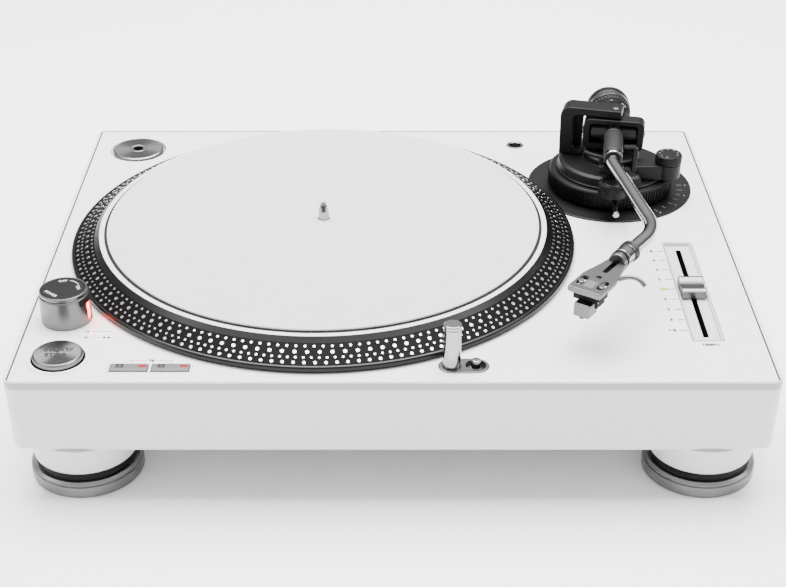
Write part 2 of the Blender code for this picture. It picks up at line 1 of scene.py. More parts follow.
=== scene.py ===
# %% [markdown]
# # A record player with an S-shaped arm
# This lesson dresses a record player: a moulded white cabinet, a heavy platter with a dotted
# speed band, a chrome S-shaped arm and a handful of turned metal controls. The working model
# with its joints is loaded first as a fixed frame. Every finer piece made here takes its place
# and size from that frame, rides on one of its bodies, and hides the plain solid it stands for.

import json
import math

import bmesh
import bpy
from mathutils import Matrix, Vector

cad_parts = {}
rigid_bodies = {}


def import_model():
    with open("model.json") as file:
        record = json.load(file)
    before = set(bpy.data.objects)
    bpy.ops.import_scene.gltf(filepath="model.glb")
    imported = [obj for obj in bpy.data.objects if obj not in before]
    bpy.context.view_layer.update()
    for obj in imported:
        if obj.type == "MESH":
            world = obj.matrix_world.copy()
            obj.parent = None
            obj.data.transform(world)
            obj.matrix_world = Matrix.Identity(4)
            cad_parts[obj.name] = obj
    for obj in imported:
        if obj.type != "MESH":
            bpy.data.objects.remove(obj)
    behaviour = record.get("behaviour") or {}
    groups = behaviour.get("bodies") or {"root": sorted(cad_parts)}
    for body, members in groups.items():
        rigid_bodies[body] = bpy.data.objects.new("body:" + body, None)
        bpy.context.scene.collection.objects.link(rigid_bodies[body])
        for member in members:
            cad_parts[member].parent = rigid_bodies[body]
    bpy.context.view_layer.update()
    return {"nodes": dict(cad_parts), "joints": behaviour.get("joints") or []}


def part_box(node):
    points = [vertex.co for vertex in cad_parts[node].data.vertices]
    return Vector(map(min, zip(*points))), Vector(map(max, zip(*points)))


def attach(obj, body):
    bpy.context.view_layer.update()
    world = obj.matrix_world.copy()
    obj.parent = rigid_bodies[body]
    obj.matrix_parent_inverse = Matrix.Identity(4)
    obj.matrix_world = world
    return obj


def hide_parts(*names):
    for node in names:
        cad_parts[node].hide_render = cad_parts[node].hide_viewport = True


for leftover in list(bpy.data.objects):
    bpy.data.objects.remove(leftover, do_unlink=True)
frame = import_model()
NODES = frame["nodes"]
JOINTS = {joint["name"]: joint for joint in frame["joints"]}

# %% [markdown]
# All lengths below are written in millimetres, the unit a maker would use at the bench, and
# heights count from the cabinet's top face. Centres and axes are read from the frame, so the
# fine pieces stay on the same axes as the joints that move them.

# %% Places read from the frame
MM = 0.001
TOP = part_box("cabinet")[1].z / MM


def middle(node):
    low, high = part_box(node)
    return (low + high) / 2 / MM


def joint_at(name):
    return Vector(JOINTS[name]["pos_m"]) / MM


SPINDLE = middle("spindle")
PIVOT = joint_at("arm_swing")
COLLAR = joint_at("collar_turn")
SHELL_WAY = Vector(JOINTS["collar_turn"]["axis"])
REAR_WAY = Vector(JOINTS["weight_turn"]["axis"])
TILT_WAY = -Vector(JOINTS["arm_tilt"]["axis"])
print("top face at %.1f mm, spindle to pivot %.1f mm" % (TOP, (SPINDLE - PIVOT).xy.length))

# %% [markdown]
# ## Camera, floor and light
# The camera looks down on the front edge from a little under a metre away. A tall frame shift
# keeps the upright edges upright, the way a view camera does. The light is a studio's: one big
# soft box overhead, a weaker one at each side, and a sky that darkens toward the horizon so
# that chrome has something to reflect.

# %% Camera
FOCAL_LENGTH, FRAME_SHIFT, CAMERA_TILT = 67.76, 0.187, math.radians(54.48)
CAMERA_AT = (0.0, -0.8849, 0.5503)


def link(tree, *pairs):
    """Join sockets, each pair from its source to its target."""
    for source, target in pairs:
        tree.links.new(source, target)


def add_object(name, data):
    obj = bpy.data.objects.new(name, data)
    bpy.context.scene.collection.objects.link(obj)
    return obj


lens = bpy.data.cameras.new("camera")
lens.lens = FOCAL_LENGTH
lens.sensor_width = 36.0
lens.shift_y = FRAME_SHIFT
lens.clip_start = 0.01
camera = add_object("camera", lens)
camera.location = CAMERA_AT
camera.rotation_euler = (CAMERA_TILT, 0.0, 0.0)
bpy.context.scene.camera = camera
print("camera at", tuple(round(v, 3) for v in camera.location))


# %% Floor, sky and soft boxes
def soft_box(name, at, aim, width, length, power):
    lamp = bpy.data.lights.new(name, "AREA")
    lamp.shape = "RECTANGLE"
    lamp.size = width
    lamp.size_y = length
    lamp.energy = power
    obj = add_object(name, lamp)
    obj.location = at
    obj.rotation_euler = (Vector(aim) - Vector(at)).to_track_quat("-Z", "Y").to_euler()


def studio_sky():
    sky = bpy.data.worlds.new("studio_sky")
    sky.use_nodes = True
    tree = sky.node_tree
    where = tree.nodes.new("ShaderNodeTexCoord")
    split = tree.nodes.new("ShaderNodeSeparateXYZ")
    ramp = tree.nodes.new("ShaderNodeValToRGB")
    ramp.color_ramp.elements[0].position = 0.05
    ramp.color_ramp.elements[0].color = (0.08, 0.08, 0.085, 1.0)
    ramp.color_ramp.elements[1].position = 0.80
    ramp.color_ramp.elements[1].color = (1.0, 1.0, 1.0, 1.0)
    haze = ramp.color_ramp.elements.new(0.35)
    haze.color = (0.34, 0.34, 0.345, 1.0)
    link(tree, (where.outputs["Generated"], split.inputs["Vector"]),
        (split.outputs["Z"], ramp.inputs["Fac"]), (ramp.outputs["Color"],
        tree.nodes["Background"].inputs["Color"]))
    tree.nodes["Background"].inputs["Strength"].default_value = 1.55
    bpy.context.scene.world = sky


def pale_floor():
    bm = bmesh.new()
    bmesh.ops.create_grid(bm, x_segments=1, y_segments=1, size=6.0)
    mesh = bpy.data.meshes.new("floor")
    bm.to_mesh(mesh)
    bm.free()
    paint = bpy.data.materials.new("floor_paint")
    paint.use_nodes = True
    shader = paint.node_tree.nodes["Principled BSDF"]
    shader.inputs["Base Color"].default_value = (0.97, 0.97, 0.97, 1.0)
    shader.inputs["Roughness"].default_value = 0.9
    mesh.materials.append(paint)
    floor = add_object("floor", mesh)


studio_sky()
pale_floor()
soft_box("top_box", (0.0, 0.35, 1.7), (0, 0, 0), 1.8, 1.3, 135.0)
soft_box("left_box", (-1.5, -0.3, 0.9), (0, 0, 0.08), 0.35, 1.2, 9.0)
soft_box("right_box", (1.5, -0.1, 1.0), (0, 0, 0.08), 0.30, 1.2, 9.0)
print("stage ready")

# %% [markdown]
# ## Shared surface effects
# Real surfaces are never one number. Four small node groups carry the effects that several
# finishes share: the fine grain of moulded plastic, the rings a lathe leaves, the crossed
# threads of a mat, and the faint dust that dulls a polished face. Each puts out only a mask
# and a height, and the shader itself stays in the material.


# %% Node group helpers
def group_with(name, inputs, outputs):
    """A shader group fed by a Vector and by some named numbers."""
    tree = bpy.data.node_groups.new(name, "ShaderNodeTree")
    tree.interface.new_socket("Vector", in_out="INPUT", socket_type="NodeSocketVector")
    for label, value in inputs.items():
        socket = tree.interface.new_socket(label, in_out="INPUT", socket_type="NodeSocketFloat")
        socket.default_value = value
    for label in outputs:
        tree.interface.new_socket(label, in_out="OUTPUT", socket_type="NodeSocketFloat")
    return tree, tree.nodes.new("NodeGroupInput"), tree.nodes.new("NodeGroupOutput")


def sums(tree, operation, *values):
    """A Math node fed by sockets or plain numbers; gives its result socket."""
    node = tree.nodes.new("ShaderNodeMath")
    node.operation = operation
    for socket, value in zip(node.inputs, values):
        if isinstance(value, (int, float)):
            socket.default_value = value
        else:
            tree.links.new(value, socket)
    return node.outputs[0]


def noise(tree, vector, scale, detail=3.0, dimensions="3D"):
    node = tree.nodes.new("ShaderNodeTexNoise")
    node.noise_dimensions = dimensions
    node.inputs["Detail"].default_value = detail
    if vector is not None:
        tree.links.new(vector, node.inputs["W" if dimensions == "1D" else "Vector"])
    if isinstance(scale, (int, float)):
        node.inputs["Scale"].default_value = scale
    else:
        tree.links.new(scale, node.inputs["Scale"])
    return node.outputs[0]


# %% The four groups
def make_fine_grain():
    tree, ins, out = group_with("fine_grain", {"Grain": 2500.0, "Cloud": 14.0}, ("Mask", "Height"))
    fine = noise(tree, ins.outputs["Vector"], ins.outputs["Grain"], 2.0)
    broad = noise(tree, ins.outputs["Vector"], ins.outputs["Cloud"], 3.0)
    link(tree, (sums(tree, "MULTIPLY_ADD", fine, 0.35, sums(tree, "MULTIPLY", broad, 0.65)),
        out.inputs["Mask"]), (fine, out.inputs["Height"]))
    return tree


def make_turning_marks():
    tree, ins, out = group_with("turning_marks", {"Lines": 3000.0}, ("Mask", "Height"))
    split = tree.nodes.new("ShaderNodeSeparateXYZ")
    tree.links.new(ins.outputs["Vector"], split.inputs[0])
    x, y = split.outputs["X"], split.outputs["Y"]
    across = sums(tree, "ADD", sums(tree, "MULTIPLY", x, x), sums(tree, "MULTIPLY", y, y))
    rings = noise(tree, sums(tree, "SQRT", across), ins.outputs["Lines"], 2.0, "1D")
    smear = noise(tree, ins.outputs["Vector"], 60.0, 2.0)
    link(tree, (sums(tree, "MULTIPLY_ADD", smear, 0.4, sums(tree, "MULTIPLY", rings, 0.6)),
        out.inputs["Mask"]), (rings, out.inputs["Height"]))
    return tree


def make_woven_threads():
    tree, ins, out = group_with("woven_threads", {"Thread": 0.0009}, ("Mask", "Height"))
    split = tree.nodes.new("ShaderNodeSeparateXYZ")
    tree.links.new(ins.outputs["Vector"], split.inputs[0])
    waves = []
    for label in ("X", "Y"):
        count = sums(tree, "DIVIDE", split.outputs[label], ins.outputs["Thread"])
        waves.append(sums(tree, "SINE", sums(tree, "MULTIPLY", count, math.pi)))
    cross = sums(tree, "MULTIPLY", waves[0], waves[1])
    slub = []
    for stretch in ((40.0, 900.0, 1.0), (900.0, 40.0, 1.0)):
        pull = tree.nodes.new("ShaderNodeMapping")
        pull.inputs["Scale"].default_value = stretch
        tree.links.new(ins.outputs["Vector"], pull.inputs["Vector"])
        slub.append(noise(tree, pull.outputs["Vector"], 1.0, 2.0))
    both = sums(tree, "MULTIPLY", sums(tree, "ADD", slub[0], slub[1]), 0.5)
    link(tree, (both, out.inputs["Mask"]), (sums(tree, "MULTIPLY_ADD", cross, 0.5, both),
        out.inputs["Height"]))
    return tree


def make_faint_dust():
    tree, ins, out = group_with("faint_dust", {"Amount": 0.5}, ("Mask",))
    patches = noise(tree, ins.outputs["Vector"], 45.0, 4.0)
    specks = noise(tree, ins.outputs["Vector"], 1800.0, 1.0)
    tree.links.new(sums(tree, "MULTIPLY", sums(tree, "MULTIPLY", patches, specks),
        ins.outputs["Amount"]), out.inputs["Mask"])
    return tree


GRAIN, RINGS = make_fine_grain(), make_turning_marks()
THREADS, DUST = make_woven_threads(), make_faint_dust()
print("groups:", [g.name for g in (GRAIN, RINGS, THREADS, DUST)])


# %% [markdown]
# ## Finishes
# One recipe builds every finish: a group gives a mask and a height, the mask moves the colour
# and the roughness a little about their middle, and the height becomes a shallow bump. Values
# that are the same everywhere go straight on the shader.


# %% The finish recipe
def finish(name, colour, rough, metal=0.0, effect=None, effect_values=None, centre=None, fade=0.08,
        rough_swing=0.06, bump=0.05, depth=0.00005, **more):
    """A material whose colour, roughness and bump follow one shared effect group."""
    mat = bpy.data.materials.new(name)
    mat.use_nodes = True
    tree = mat.node_tree
    shader = tree.nodes["Principled BSDF"]
    where = tree.nodes.new("ShaderNodeTexCoord").outputs["Object"]
    if centre is not None:
        shift = tree.nodes.new("ShaderNodeMapping")
        shift.inputs["Location"].default_value = -Vector(centre) * MM
        tree.links.new(where, shift.inputs["Vector"])
        where = shift.outputs["Vector"]
    group = tree.nodes.new("ShaderNodeGroup")
    group.node_tree = effect or GRAIN
    tree.links.new(where, group.inputs["Vector"])
    for label, value in (effect_values or {}).items():
        group.inputs[label].default_value = value
    mask = group.outputs["Mask"]
    mix = tree.nodes.new("ShaderNodeMix")
    mix.data_type = "RGBA"
    mix.inputs[6].default_value = (*[c * (1.0 - fade) for c in colour], 1.0)
    mix.inputs[7].default_value = (*[min(1.0, c * (1.0 + fade)) for c in colour], 1.0)
    link(tree, (mask, mix.inputs["Factor"]), (mix.outputs[2], shader.inputs["Base Color"]))
    dust = tree.nodes.new("ShaderNodeGroup")
    dust.node_tree = DUST
    dust.inputs["Amount"].default_value = rough_swing
    tree.links.new(where, dust.inputs["Vector"])
    swing = sums(tree, "MULTIPLY_ADD", mask, 2 * rough_swing, rough - rough_swing)
    tree.links.new(sums(tree, "ADD", swing, dust.outputs["Mask"]), shader.inputs["Roughness"])
    relief = tree.nodes.new("ShaderNodeBump")
    relief.inputs["Strength"].default_value = bump
    relief.inputs["Distance"].default_value = depth
    link(tree, (group.outputs["Height"], relief.inputs["Height"]),
        (relief.outputs["Normal"], shader.inputs["Normal"]))
    shader.inputs["Metallic"].default_value = metal
    for label, value in more.items():
        shader.inputs[label.replace("_", " ")].default_value = value
    mat.diffuse_color = (*colour, 1.0)
    return mat


def spun_finish(name, colour, rough, centre, pull=0.75):
    """Metal faced on a lathe: fine rings, and highlights that fan out from the centre."""
    mat = finish(name, colour, rough, 1.0, RINGS, {"Lines": 2600.0}, centre, fade=0.10, bump=0.12,
        Anisotropic=pull)
    tangent = mat.node_tree.nodes.new("ShaderNodeTangent")
    tangent.direction_type = "RADIAL"
    tangent.axis = "Z"
    shader = mat.node_tree.nodes["Principled BSDF"]
    mat.node_tree.links.new(tangent.outputs["Tangent"], shader.inputs["Tangent"])
    return mat


def glowing(name, colour, strength):
    mat = finish(name, colour, 0.5, fade=0.05, Specular_IOR_Level=0.1)
    shader = mat.node_tree.nodes["Principled BSDF"]
    shader.inputs["Emission Color"].default_value = (*colour, 1.0)
    shader.inputs["Emission Strength"].default_value = strength
    return mat


# %% Plastics and print
white = finish("satin_white", (0.80, 0.80, 0.785), 0.34, fade=0.012, rough_swing=0.04, bump=0.04)
black = finish("satin_black", (0.0026, 0.0026, 0.0028), 0.44, fade=0.25, bump=0.12, depth=0.0001,
    Specular_IOR_Level=0.20)
deep_black = finish("dull_black", (0.002, 0.002, 0.002), 0.60, fade=0.2, bump=0.1,
    Specular_IOR_Level=0.25)
band_black = finish("speed_band_black", (0.0012, 0.0012, 0.0012), 0.50, fade=0.3, bump=0.05,
    Specular_IOR_Level=0.06)
key_grey = finish("key_grey", (0.17, 0.17, 0.17), 0.36, metal=0.6, fade=0.06)
grey_print_and_gap_shade = finish("grey_print_and_gap_shade", (0.022, 0.022, 0.022), 0.6, fade=0.1)
panel_grey = finish("panel_grey", (0.56, 0.56, 0.55), 0.45, fade=0.02)
black_ink = finish("black_ink", (0.002, 0.002, 0.002), 0.6, fade=0.2)
white_ink = finish("white_ink", (0.75, 0.75, 0.75), 0.6, fade=0.05)
faint_ink = finish("faint_ink", (0.11, 0.11, 0.11), 0.6, fade=0.2)
red_lamp = glowing("red_lamp", (1.0, 0.003, 0.002), 30.0)
red_dash = glowing("red_dash", (0.30, 0.0005, 0.0008), 0.35)
green_dash = glowing("green_dash", (0.26, 0.50, 0.0), 0.55)
print("plastics and print done")

# %% Metals
chrome = finish("bright_chrome", (0.38, 0.38, 0.385), 0.11, 1.0, fade=0.03, rough_swing=0.03,
    bump=0.02)
silver = finish("satin_silver", (0.165, 0.165, 0.167), 0.30, 1.0, fade=0.08, bump=0.08)
steel = finish("plain_steel", (0.22, 0.22, 0.223), 0.36, 1.0, fade=0.1, bump=0.08)
dark_steel = finish("dark_steel", (0.045, 0.045, 0.047), 0.38, 1.0, fade=0.15, bump=0.1)
holder_grey = finish("holder_grey", (0.035, 0.035, 0.036), 0.42, 0.6, fade=0.12, bump=0.1)
mirror_dot = finish("speed_dot", (0.52, 0.52, 0.52), 0.26, 1.0, fade=0.05, bump=0.03)
rim_metal = finish("rim_metal", (0.026, 0.026, 0.027), 0.26, 1.0, RINGS, {"Lines": 1500.0},
    SPINDLE, fade=0.08, bump=0.05)
ring_white = finish("ring_white", (0.84, 0.84, 0.83), 0.35, 0.25, RINGS, {"Lines": 1500.0},
    SPINDLE, fade=0.03, bump=0.04)
slope_metal = finish("slope_metal", (0.035, 0.035, 0.036), 0.30, 1.0, RINGS, {"Lines": 1500.0},
    SPINDLE, fade=0.08, bump=0.05)
platter_metal = finish("platter_metal", (0.40, 0.40, 0.40), 0.33, 1.0, RINGS, {"Lines": 1500.0},
    SPINDLE, fade=0.05, bump=0.05)
copper = finish("enamelled_copper", (0.45, 0.20, 0.09), 0.35, 1.0, RINGS, {"Lines": 900.0},
    SPINDLE, fade=0.3, bump=0.6)
gold = finish("gold_plate", (0.70, 0.48, 0.16), 0.25, 1.0, fade=0.06)
board_green = finish("board_green", (0.02, 0.13, 0.05), 0.42, fade=0.25,
    effect_values={"Grain": 700.0}, bump=0.2)
cloth = finish("mat_cloth", (0.58, 0.58, 0.575), 0.85, 0.0, THREADS, {"Thread": 0.0011}, fade=0.16,
    rough_swing=0.08, bump=0.5, depth=0.0002, Sheen_Weight=0.1)
print("metals and cloth done")


# %% [markdown]
# The cabinet has a hairline joint a few millimetres in from its side and rear edges, where the
# top moulding meets the sides. A hairline that fine is best drawn in the material: the
# distance to the edge picks out a thin dark strip on the top face only. Just under the top edge
# a grey band of height is painted shade, standing for the shaded side of the top moulding.


# %% Hairline on the cabinet
def tint_where(mat, mask, colour):
    """Swap in another colour where a mask is one."""
    tree = mat.node_tree
    shader = tree.nodes["Principled BSDF"]
    swap = tree.nodes.new("ShaderNodeMix")
    swap.data_type = "RGBA"
    swap.inputs[7].default_value = (*colour, 1.0)
    link(tree, (shader.inputs["Base Color"].links[0].from_socket, swap.inputs[6]),
        (mask, swap.inputs["Factor"]), (swap.outputs[2], shader.inputs["Base Color"]))


def add_hairline(mat, inset, width):
    tree = mat.node_tree
    low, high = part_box("cabinet")
    split = tree.nodes.new("ShaderNodeSeparateXYZ")
    tree.links.new(tree.nodes["Texture Coordinate"].outputs["Object"], split.inputs[0])
    side = sums(tree, "SUBTRACT", sums(tree, "ABSOLUTE", split.outputs["X"]), high.x - inset * MM)
    back = sums(tree, "SUBTRACT", split.outputs["Y"], high.y - inset * MM)
    gap = sums(tree, "ABSOLUTE", sums(tree, "MAXIMUM", side, back))
    near = sums(tree, "LESS_THAN", gap, width * MM / 2)
    on_top = sums(tree, "GREATER_THAN", split.outputs["Z"], high.z - 0.0002)
    tint_where(mat, sums(tree, "MULTIPLY", near, on_top), (0.022, 0.022, 0.022))
    # painted shade: a grey band from 1.2 to 5.6 mm under the top edge
    below = sums(tree, "LESS_THAN", split.outputs["Z"], high.z - 1.2 * MM)
    above = sums(tree, "GREATER_THAN", split.outputs["Z"], high.z - 5.6 * MM)
    tint_where(mat, sums(tree, "MULTIPLY", below, above), (0.44, 0.44, 0.425))


cabinet_white = white.copy()
cabinet_white.name = "cabinet_white"
add_hairline(cabinet_white, 3.0, 1.15)
print("hairline added to", cabinet_white.name)

# %% [markdown]
# ## Tools for making pieces
# Most of a record player is turned, cut from plate or bent from rod, so four small tools make
# nearly all of it: spun for a turned profile, slab for an outline with thickness, sweep for a
# round bar along a path, and carve for holes. Weighted normals keep big flats flat in shade
# right up to their rounded edges.


# %% From a bmesh to a finished piece
SHARP_ANGLE = math.radians(32)
TINY = 1e-7


def evaluated_mesh(obj):
    bpy.context.view_layer.update()
    seen = obj.evaluated_get(bpy.context.evaluated_depsgraph_get())
    return bpy.data.meshes.new_from_object(seen, preserve_all_data_layers=True,
        depsgraph=bpy.context.evaluated_depsgraph_get())


def settle(obj):
    """Make the modifiers' result a plain mesh and clear them."""
    mesh, old = evaluated_mesh(obj), obj.data
    obj.modifiers.clear()
    obj.data = mesh
    bpy.data.meshes.remove(old)
    return obj


def even_shade(obj):
    obj.data.shade_smooth()
    obj.data.set_sharp_from_angle(angle=SHARP_ANGLE)
    weigh = obj.modifiers.new("weigh", "WEIGHTED_NORMAL")
    weigh.keep_sharp = True
    weigh.weight = 100
    return settle(obj)


def piece(name, bm, material, place=None, shade=True):
    bmesh.ops.remove_doubles(bm, verts=bm.verts, dist=TINY)
    bmesh.ops.recalc_face_normals(bm, faces=bm.faces)
    mesh = bpy.data.meshes.new(name)
    bm.to_mesh(mesh)
    bm.free()
    if place is not None:
        mesh.transform(place)
    mesh.materials.append(material)
    obj = add_object(name, mesh)
    return even_shade(obj) if shade else obj


def joined(name, *parts):
    """Several meshes as one object, each keeping its own finish."""
    bm = bmesh.new()
    finishes = []
    for part in parts:
        index = []
        for mat in part.data.materials:
            if mat not in finishes:
                finishes.append(mat)
            index.append(finishes.index(mat))
        before = len(bm.faces)
        bm.from_mesh(part.data)
        bm.faces.ensure_lookup_table()
        for face in bm.faces[before:]:
            face.material_index = index[face.material_index]
    mesh = bpy.data.meshes.new(name)
    bm.to_mesh(mesh)
    bm.free()
    for mat in finishes:
        mesh.materials.append(mat)
    for part in parts:
        bpy.data.objects.remove(part, do_unlink=True)
    return even_shade(add_object(name, mesh))


def give(obj, body, slot, *nodes):
    """Let a piece ride on a body, and hide the plain solids it stands for."""
    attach(obj, body)
    if nodes:
        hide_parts(*nodes)
    print("%-24s rides %-14s %5d faces" % (obj.name, body, len(obj.data.polygons)))
    return obj


# %% Spun, slab and sweep
def upright(at):
    """A place on the top face, given by x, y and a height over it."""
    return Matrix.Translation(Vector((at[0], at[1], TOP + (at[2] if len(at) > 2 else 0))) * MM)


def facing(at, way):
    """A place whose own Z points along a direction."""
    turn = Vector((0, 0, 1)).rotation_difference(Vector(way))
    return Matrix.Translation(Vector(at) * MM) @ turn.to_matrix().to_4x4()


def soften(profile, radius=0.3, steps=3, closed=False):
    """Round the corners of a profile with short curves."""
    points = [Vector(p) for p in profile]
    count = len(points)
    result = [] if closed else [points[0]]
    for i in range(0 if closed else 1, count if closed else count - 1):
        before, corner, after = points[i - 1], points[i], points[(i + 1) % count]
        reach = min(radius, (before - corner).length * 0.45, (after - corner).length * 0.45)
        start = corner + (before - corner).normalized() * reach
        end = corner + (after - corner).normalized() * reach
        for k in range(steps + 1):
            t = k / steps
            result.append(start.lerp(corner, t).lerp(corner.lerp(end, t), t))
    return result if closed else result + [points[-1]]


def spun(name, profile, material, place, steps=96, ring=False, edge=0.3):
    """Turn a profile of (radius, height) points about its own upright axis."""
    rounded = soften(profile, edge, 3, ring)
    bm = bmesh.new()
    rows = []
    for radius, height in rounded:
        if radius < 1e-6:
            rows.append([bm.verts.new((0.0, 0.0, height * MM))])
            continue
        rows.append([bm.verts.new((radius * MM * math.cos(2 * math.pi * i / steps),
            radius * MM * math.sin(2 * math.pi * i / steps), height * MM)) for i in range(steps)])
    pairs = list(zip(rows, rows[1:]))
    if ring:
        pairs.append((rows[-1], rows[0]))
    for upper, lower in pairs:
        for i in range(steps):
            k = (i + 1) % steps
            if len(upper) == 1 and len(lower) == 1:
                continue
            if len(upper) == 1:
                bm.faces.new((upper[0], lower[i], lower[k]))
            elif len(lower) == 1:
                bm.faces.new((upper[i], lower[0], upper[k]))
            else:
                bm.faces.new((upper[i], lower[i], lower[k], upper[k]))
    return piece(name, bm, material, place)


def slab(name, outline, low, high, material, place, rim=0.3, foot=0.0):
    """An outline given a thickness, its top rim rounded and its lower rim if asked."""
    bm = bmesh.new()
    ring = [bm.verts.new((x * MM, y * MM, low * MM)) for x, y in outline]
    base = bm.faces.new(ring)
    lifted = bmesh.ops.extrude_face_region(bm, geom=[base])
    top = [v for v in lifted["geom"] if isinstance(v, bmesh.types.BMVert)]
    bmesh.ops.translate(bm, vec=(0, 0, (high - low) * MM), verts=top)
    for size, height in ((rim, high), (foot, low)):
        if size:
            edges = [e for e in bm.edges if all(abs(v.co.z - height * MM) < TINY for v in e.verts)]
            bmesh.ops.bevel(bm, geom=edges, offset=size * MM, segments=3, profile=0.5,
                affect="EDGES")
    return piece(name, bm, material, place)


def sweep(name, path, radius, material, sides=24):
    """A round bar along points in the world, with flat ends."""
    points = [Vector(p) * MM for p in path]
    bm = bmesh.new()
    rows = []
    side = None
    for i, point in enumerate(points):
        ahead = points[min(i + 1, len(points) - 1)] - points[max(i - 1, 0)]
        ahead.normalize()
        side = Vector((0, 0, 1)).cross(ahead) if side is None else side - ahead * side.dot(ahead)
        side.normalize()
        up = ahead.cross(side)
        rows.append([bm.verts.new(point + (side * math.cos(a) + up * math.sin(a)) * radius * MM)
            for a in (2 * math.pi * k / sides for k in range(sides))])
    for lower, upper in zip(rows, rows[1:]):
        for i in range(sides):
            k = (i + 1) % sides
            bm.faces.new((lower[i], lower[k], upper[k], upper[i]))
    bm.faces.new(rows[0])
    bm.faces.new(rows[-1])
    return piece(name, bm, material)


def arc(centre, radius, start, end, count):
    angles = [math.radians(start + (end - start) * i / count) for i in range(count + 1)]
    return [(centre[0] + radius * math.cos(a), centre[1] + radius * math.sin(a)) for a in angles]


def rounded_box(width, length, corner, steps=6):
    """An oblong outline with round corners, centred on its own origin."""
    x, y = width / 2 - corner, length / 2 - corner
    points = []
    for cx, cy, start in ((x, y, 0), (-x, y, 90), (-x, -y, 180), (x, -y, 270)):
        points += arc((cx, cy), corner, start, start + 90, steps)
    return points


def bar(name, size, at, material, corner=0.3, rim=0.3, turn=0.0, steps=3):
    """A block on its centre, with rounded upright edges and rims."""
    place = Matrix.Translation(Vector((at[0], at[1], TOP + at[2])) * MM)
    place = place @ Matrix.Rotation(turn, 4, "Z")
    outline = rounded_box(size[0], size[1], corner, steps)
    return slab(name, outline, -size[2] / 2, size[2] / 2, material, place, rim, rim)


def carve(obj, *tools):
    """Cut holes with exact Booleans and drop the tools."""
    for tool in tools:
        step = obj.modifiers.new("cut", "BOOLEAN")
        step.operation = "DIFFERENCE"
        step.solver = "EXACT"
        step.object = tool
    settle(obj)
    for tool in tools:
        bpy.data.objects.remove(tool, do_unlink=True)
    return even_shade(obj)


def drill(radius, top, bottom, at, steps=64):
    profile = [(0, top), (radius, top), (radius, bottom), (0, bottom)]
    return spun("drill", profile, white, upright(at), steps, edge=0.0001)


def pocket(outline, low, high, place):
    """A cutter with straight walls and sharp rims."""
    return slab("drill", outline, low, high, white, place, 0)


def recoat(node, look):
    """Keep a working solid as it is and give it a proper finish."""
    NODES[node].data.materials.clear()
    NODES[node].data.materials.append(look)


def numbers_round(count, first, step, size, radius):
    """Rows for lettering: whole numbers from zero up, set round a circle."""
    angles = [math.radians(first + step * k) for k in range(count)]
    return [(str(k), size, radius * math.cos(a), radius * math.sin(a))
        for k, a in enumerate(angles)]


print("tools ready")

# %% [markdown]
# ## Repeats with Geometry Nodes
# Knurls, speed dots, scale marks, screws and tick lines all repeat one small shape, either
# round an axis or along a line. Two node trees do it: the shape is the object's own mesh, the
# tree places a copy at each step, makes the copies real and gives them their finish.


# %% The two repeating trees
def repeat_tree(name, sizes):
    tree = bpy.data.node_groups.new(name, "GeometryNodeTree")
    tree.interface.new_socket("Shape", in_out="INPUT", socket_type="NodeSocketGeometry")
    for label, kind in sizes:
        tree.interface.new_socket(label, in_out="INPUT", socket_type=kind)
    tree.interface.new_socket("Finish", in_out="INPUT", socket_type="NodeSocketMaterial")
    tree.interface.new_socket("Shapes", in_out="OUTPUT", socket_type="NodeSocketGeometry")
    return tree, tree.nodes.new("NodeGroupInput"), tree.nodes.new("NodeGroupOutput")


def end_tree(tree, ins, out, points, rotation=None):
    copies = tree.nodes.new("GeometryNodeInstanceOnPoints")
    real = tree.nodes.new("GeometryNodeRealizeInstances")
    coat = tree.nodes.new("GeometryNodeSetMaterial")
    link(tree, (points, copies.inputs["Points"]), (ins.outputs["Shape"],
        copies.inputs["Instance"]))
    if rotation is not None:
        tree.links.new(rotation, copies.inputs["Rotation"])
    link(tree, (copies.outputs[0], real.inputs[0]), (real.outputs[0], coat.inputs["Geometry"]),
        (ins.outputs["Finish"], coat.inputs["Material"]), (coat.outputs[0], out.inputs[0]))


def make_round_repeat():
    tree, ins, out = repeat_tree("repeat_round_axis", (("Count", "NodeSocketInt"),
        ("Radius", "NodeSocketFloat"), ("Start", "NodeSocketFloat"), ("Step", "NodeSocketFloat")))
    line = tree.nodes.new("GeometryNodeMeshLine")
    index = tree.nodes.new("GeometryNodeInputIndex")
    place = tree.nodes.new("GeometryNodeSetPosition")
    spot = tree.nodes.new("ShaderNodeCombineXYZ")
    swing = tree.nodes.new("ShaderNodeCombineXYZ")
    turn = tree.nodes.new("FunctionNodeEulerToRotation")
    tree.links.new(ins.outputs["Count"], line.inputs["Count"])
    angle = sums(tree, "MULTIPLY_ADD", index.outputs[0], ins.outputs["Step"], ins.outputs["Start"])
    for label, wave in (("X", "COSINE"), ("Y", "SINE")):
        reach = sums(tree, "MULTIPLY", sums(tree, wave, angle), ins.outputs["Radius"])
        tree.links.new(reach, spot.inputs[label])
    link(tree, (angle, swing.inputs["Z"]), (line.outputs[0], place.inputs["Geometry"]),
        (spot.outputs[0], place.inputs["Position"]), (swing.outputs[0], turn.inputs[0]))
    end_tree(tree, ins, out, place.outputs[0], turn.outputs[0])
    return tree


def make_line_repeat():
    tree, ins, out = repeat_tree("repeat_along_line", (("Count", "NodeSocketInt"),
        ("Pitch", "NodeSocketVector")))
    line = tree.nodes.new("GeometryNodeMeshLine")
    link(tree, (ins.outputs["Count"], line.inputs["Count"]),
        (ins.outputs["Pitch"], line.inputs["Offset"]))
    end_tree(tree, ins, out, line.outputs[0])
    return tree


ROUND, LINE = make_round_repeat(), make_line_repeat()
print("trees:", ROUND.name, LINE.name)


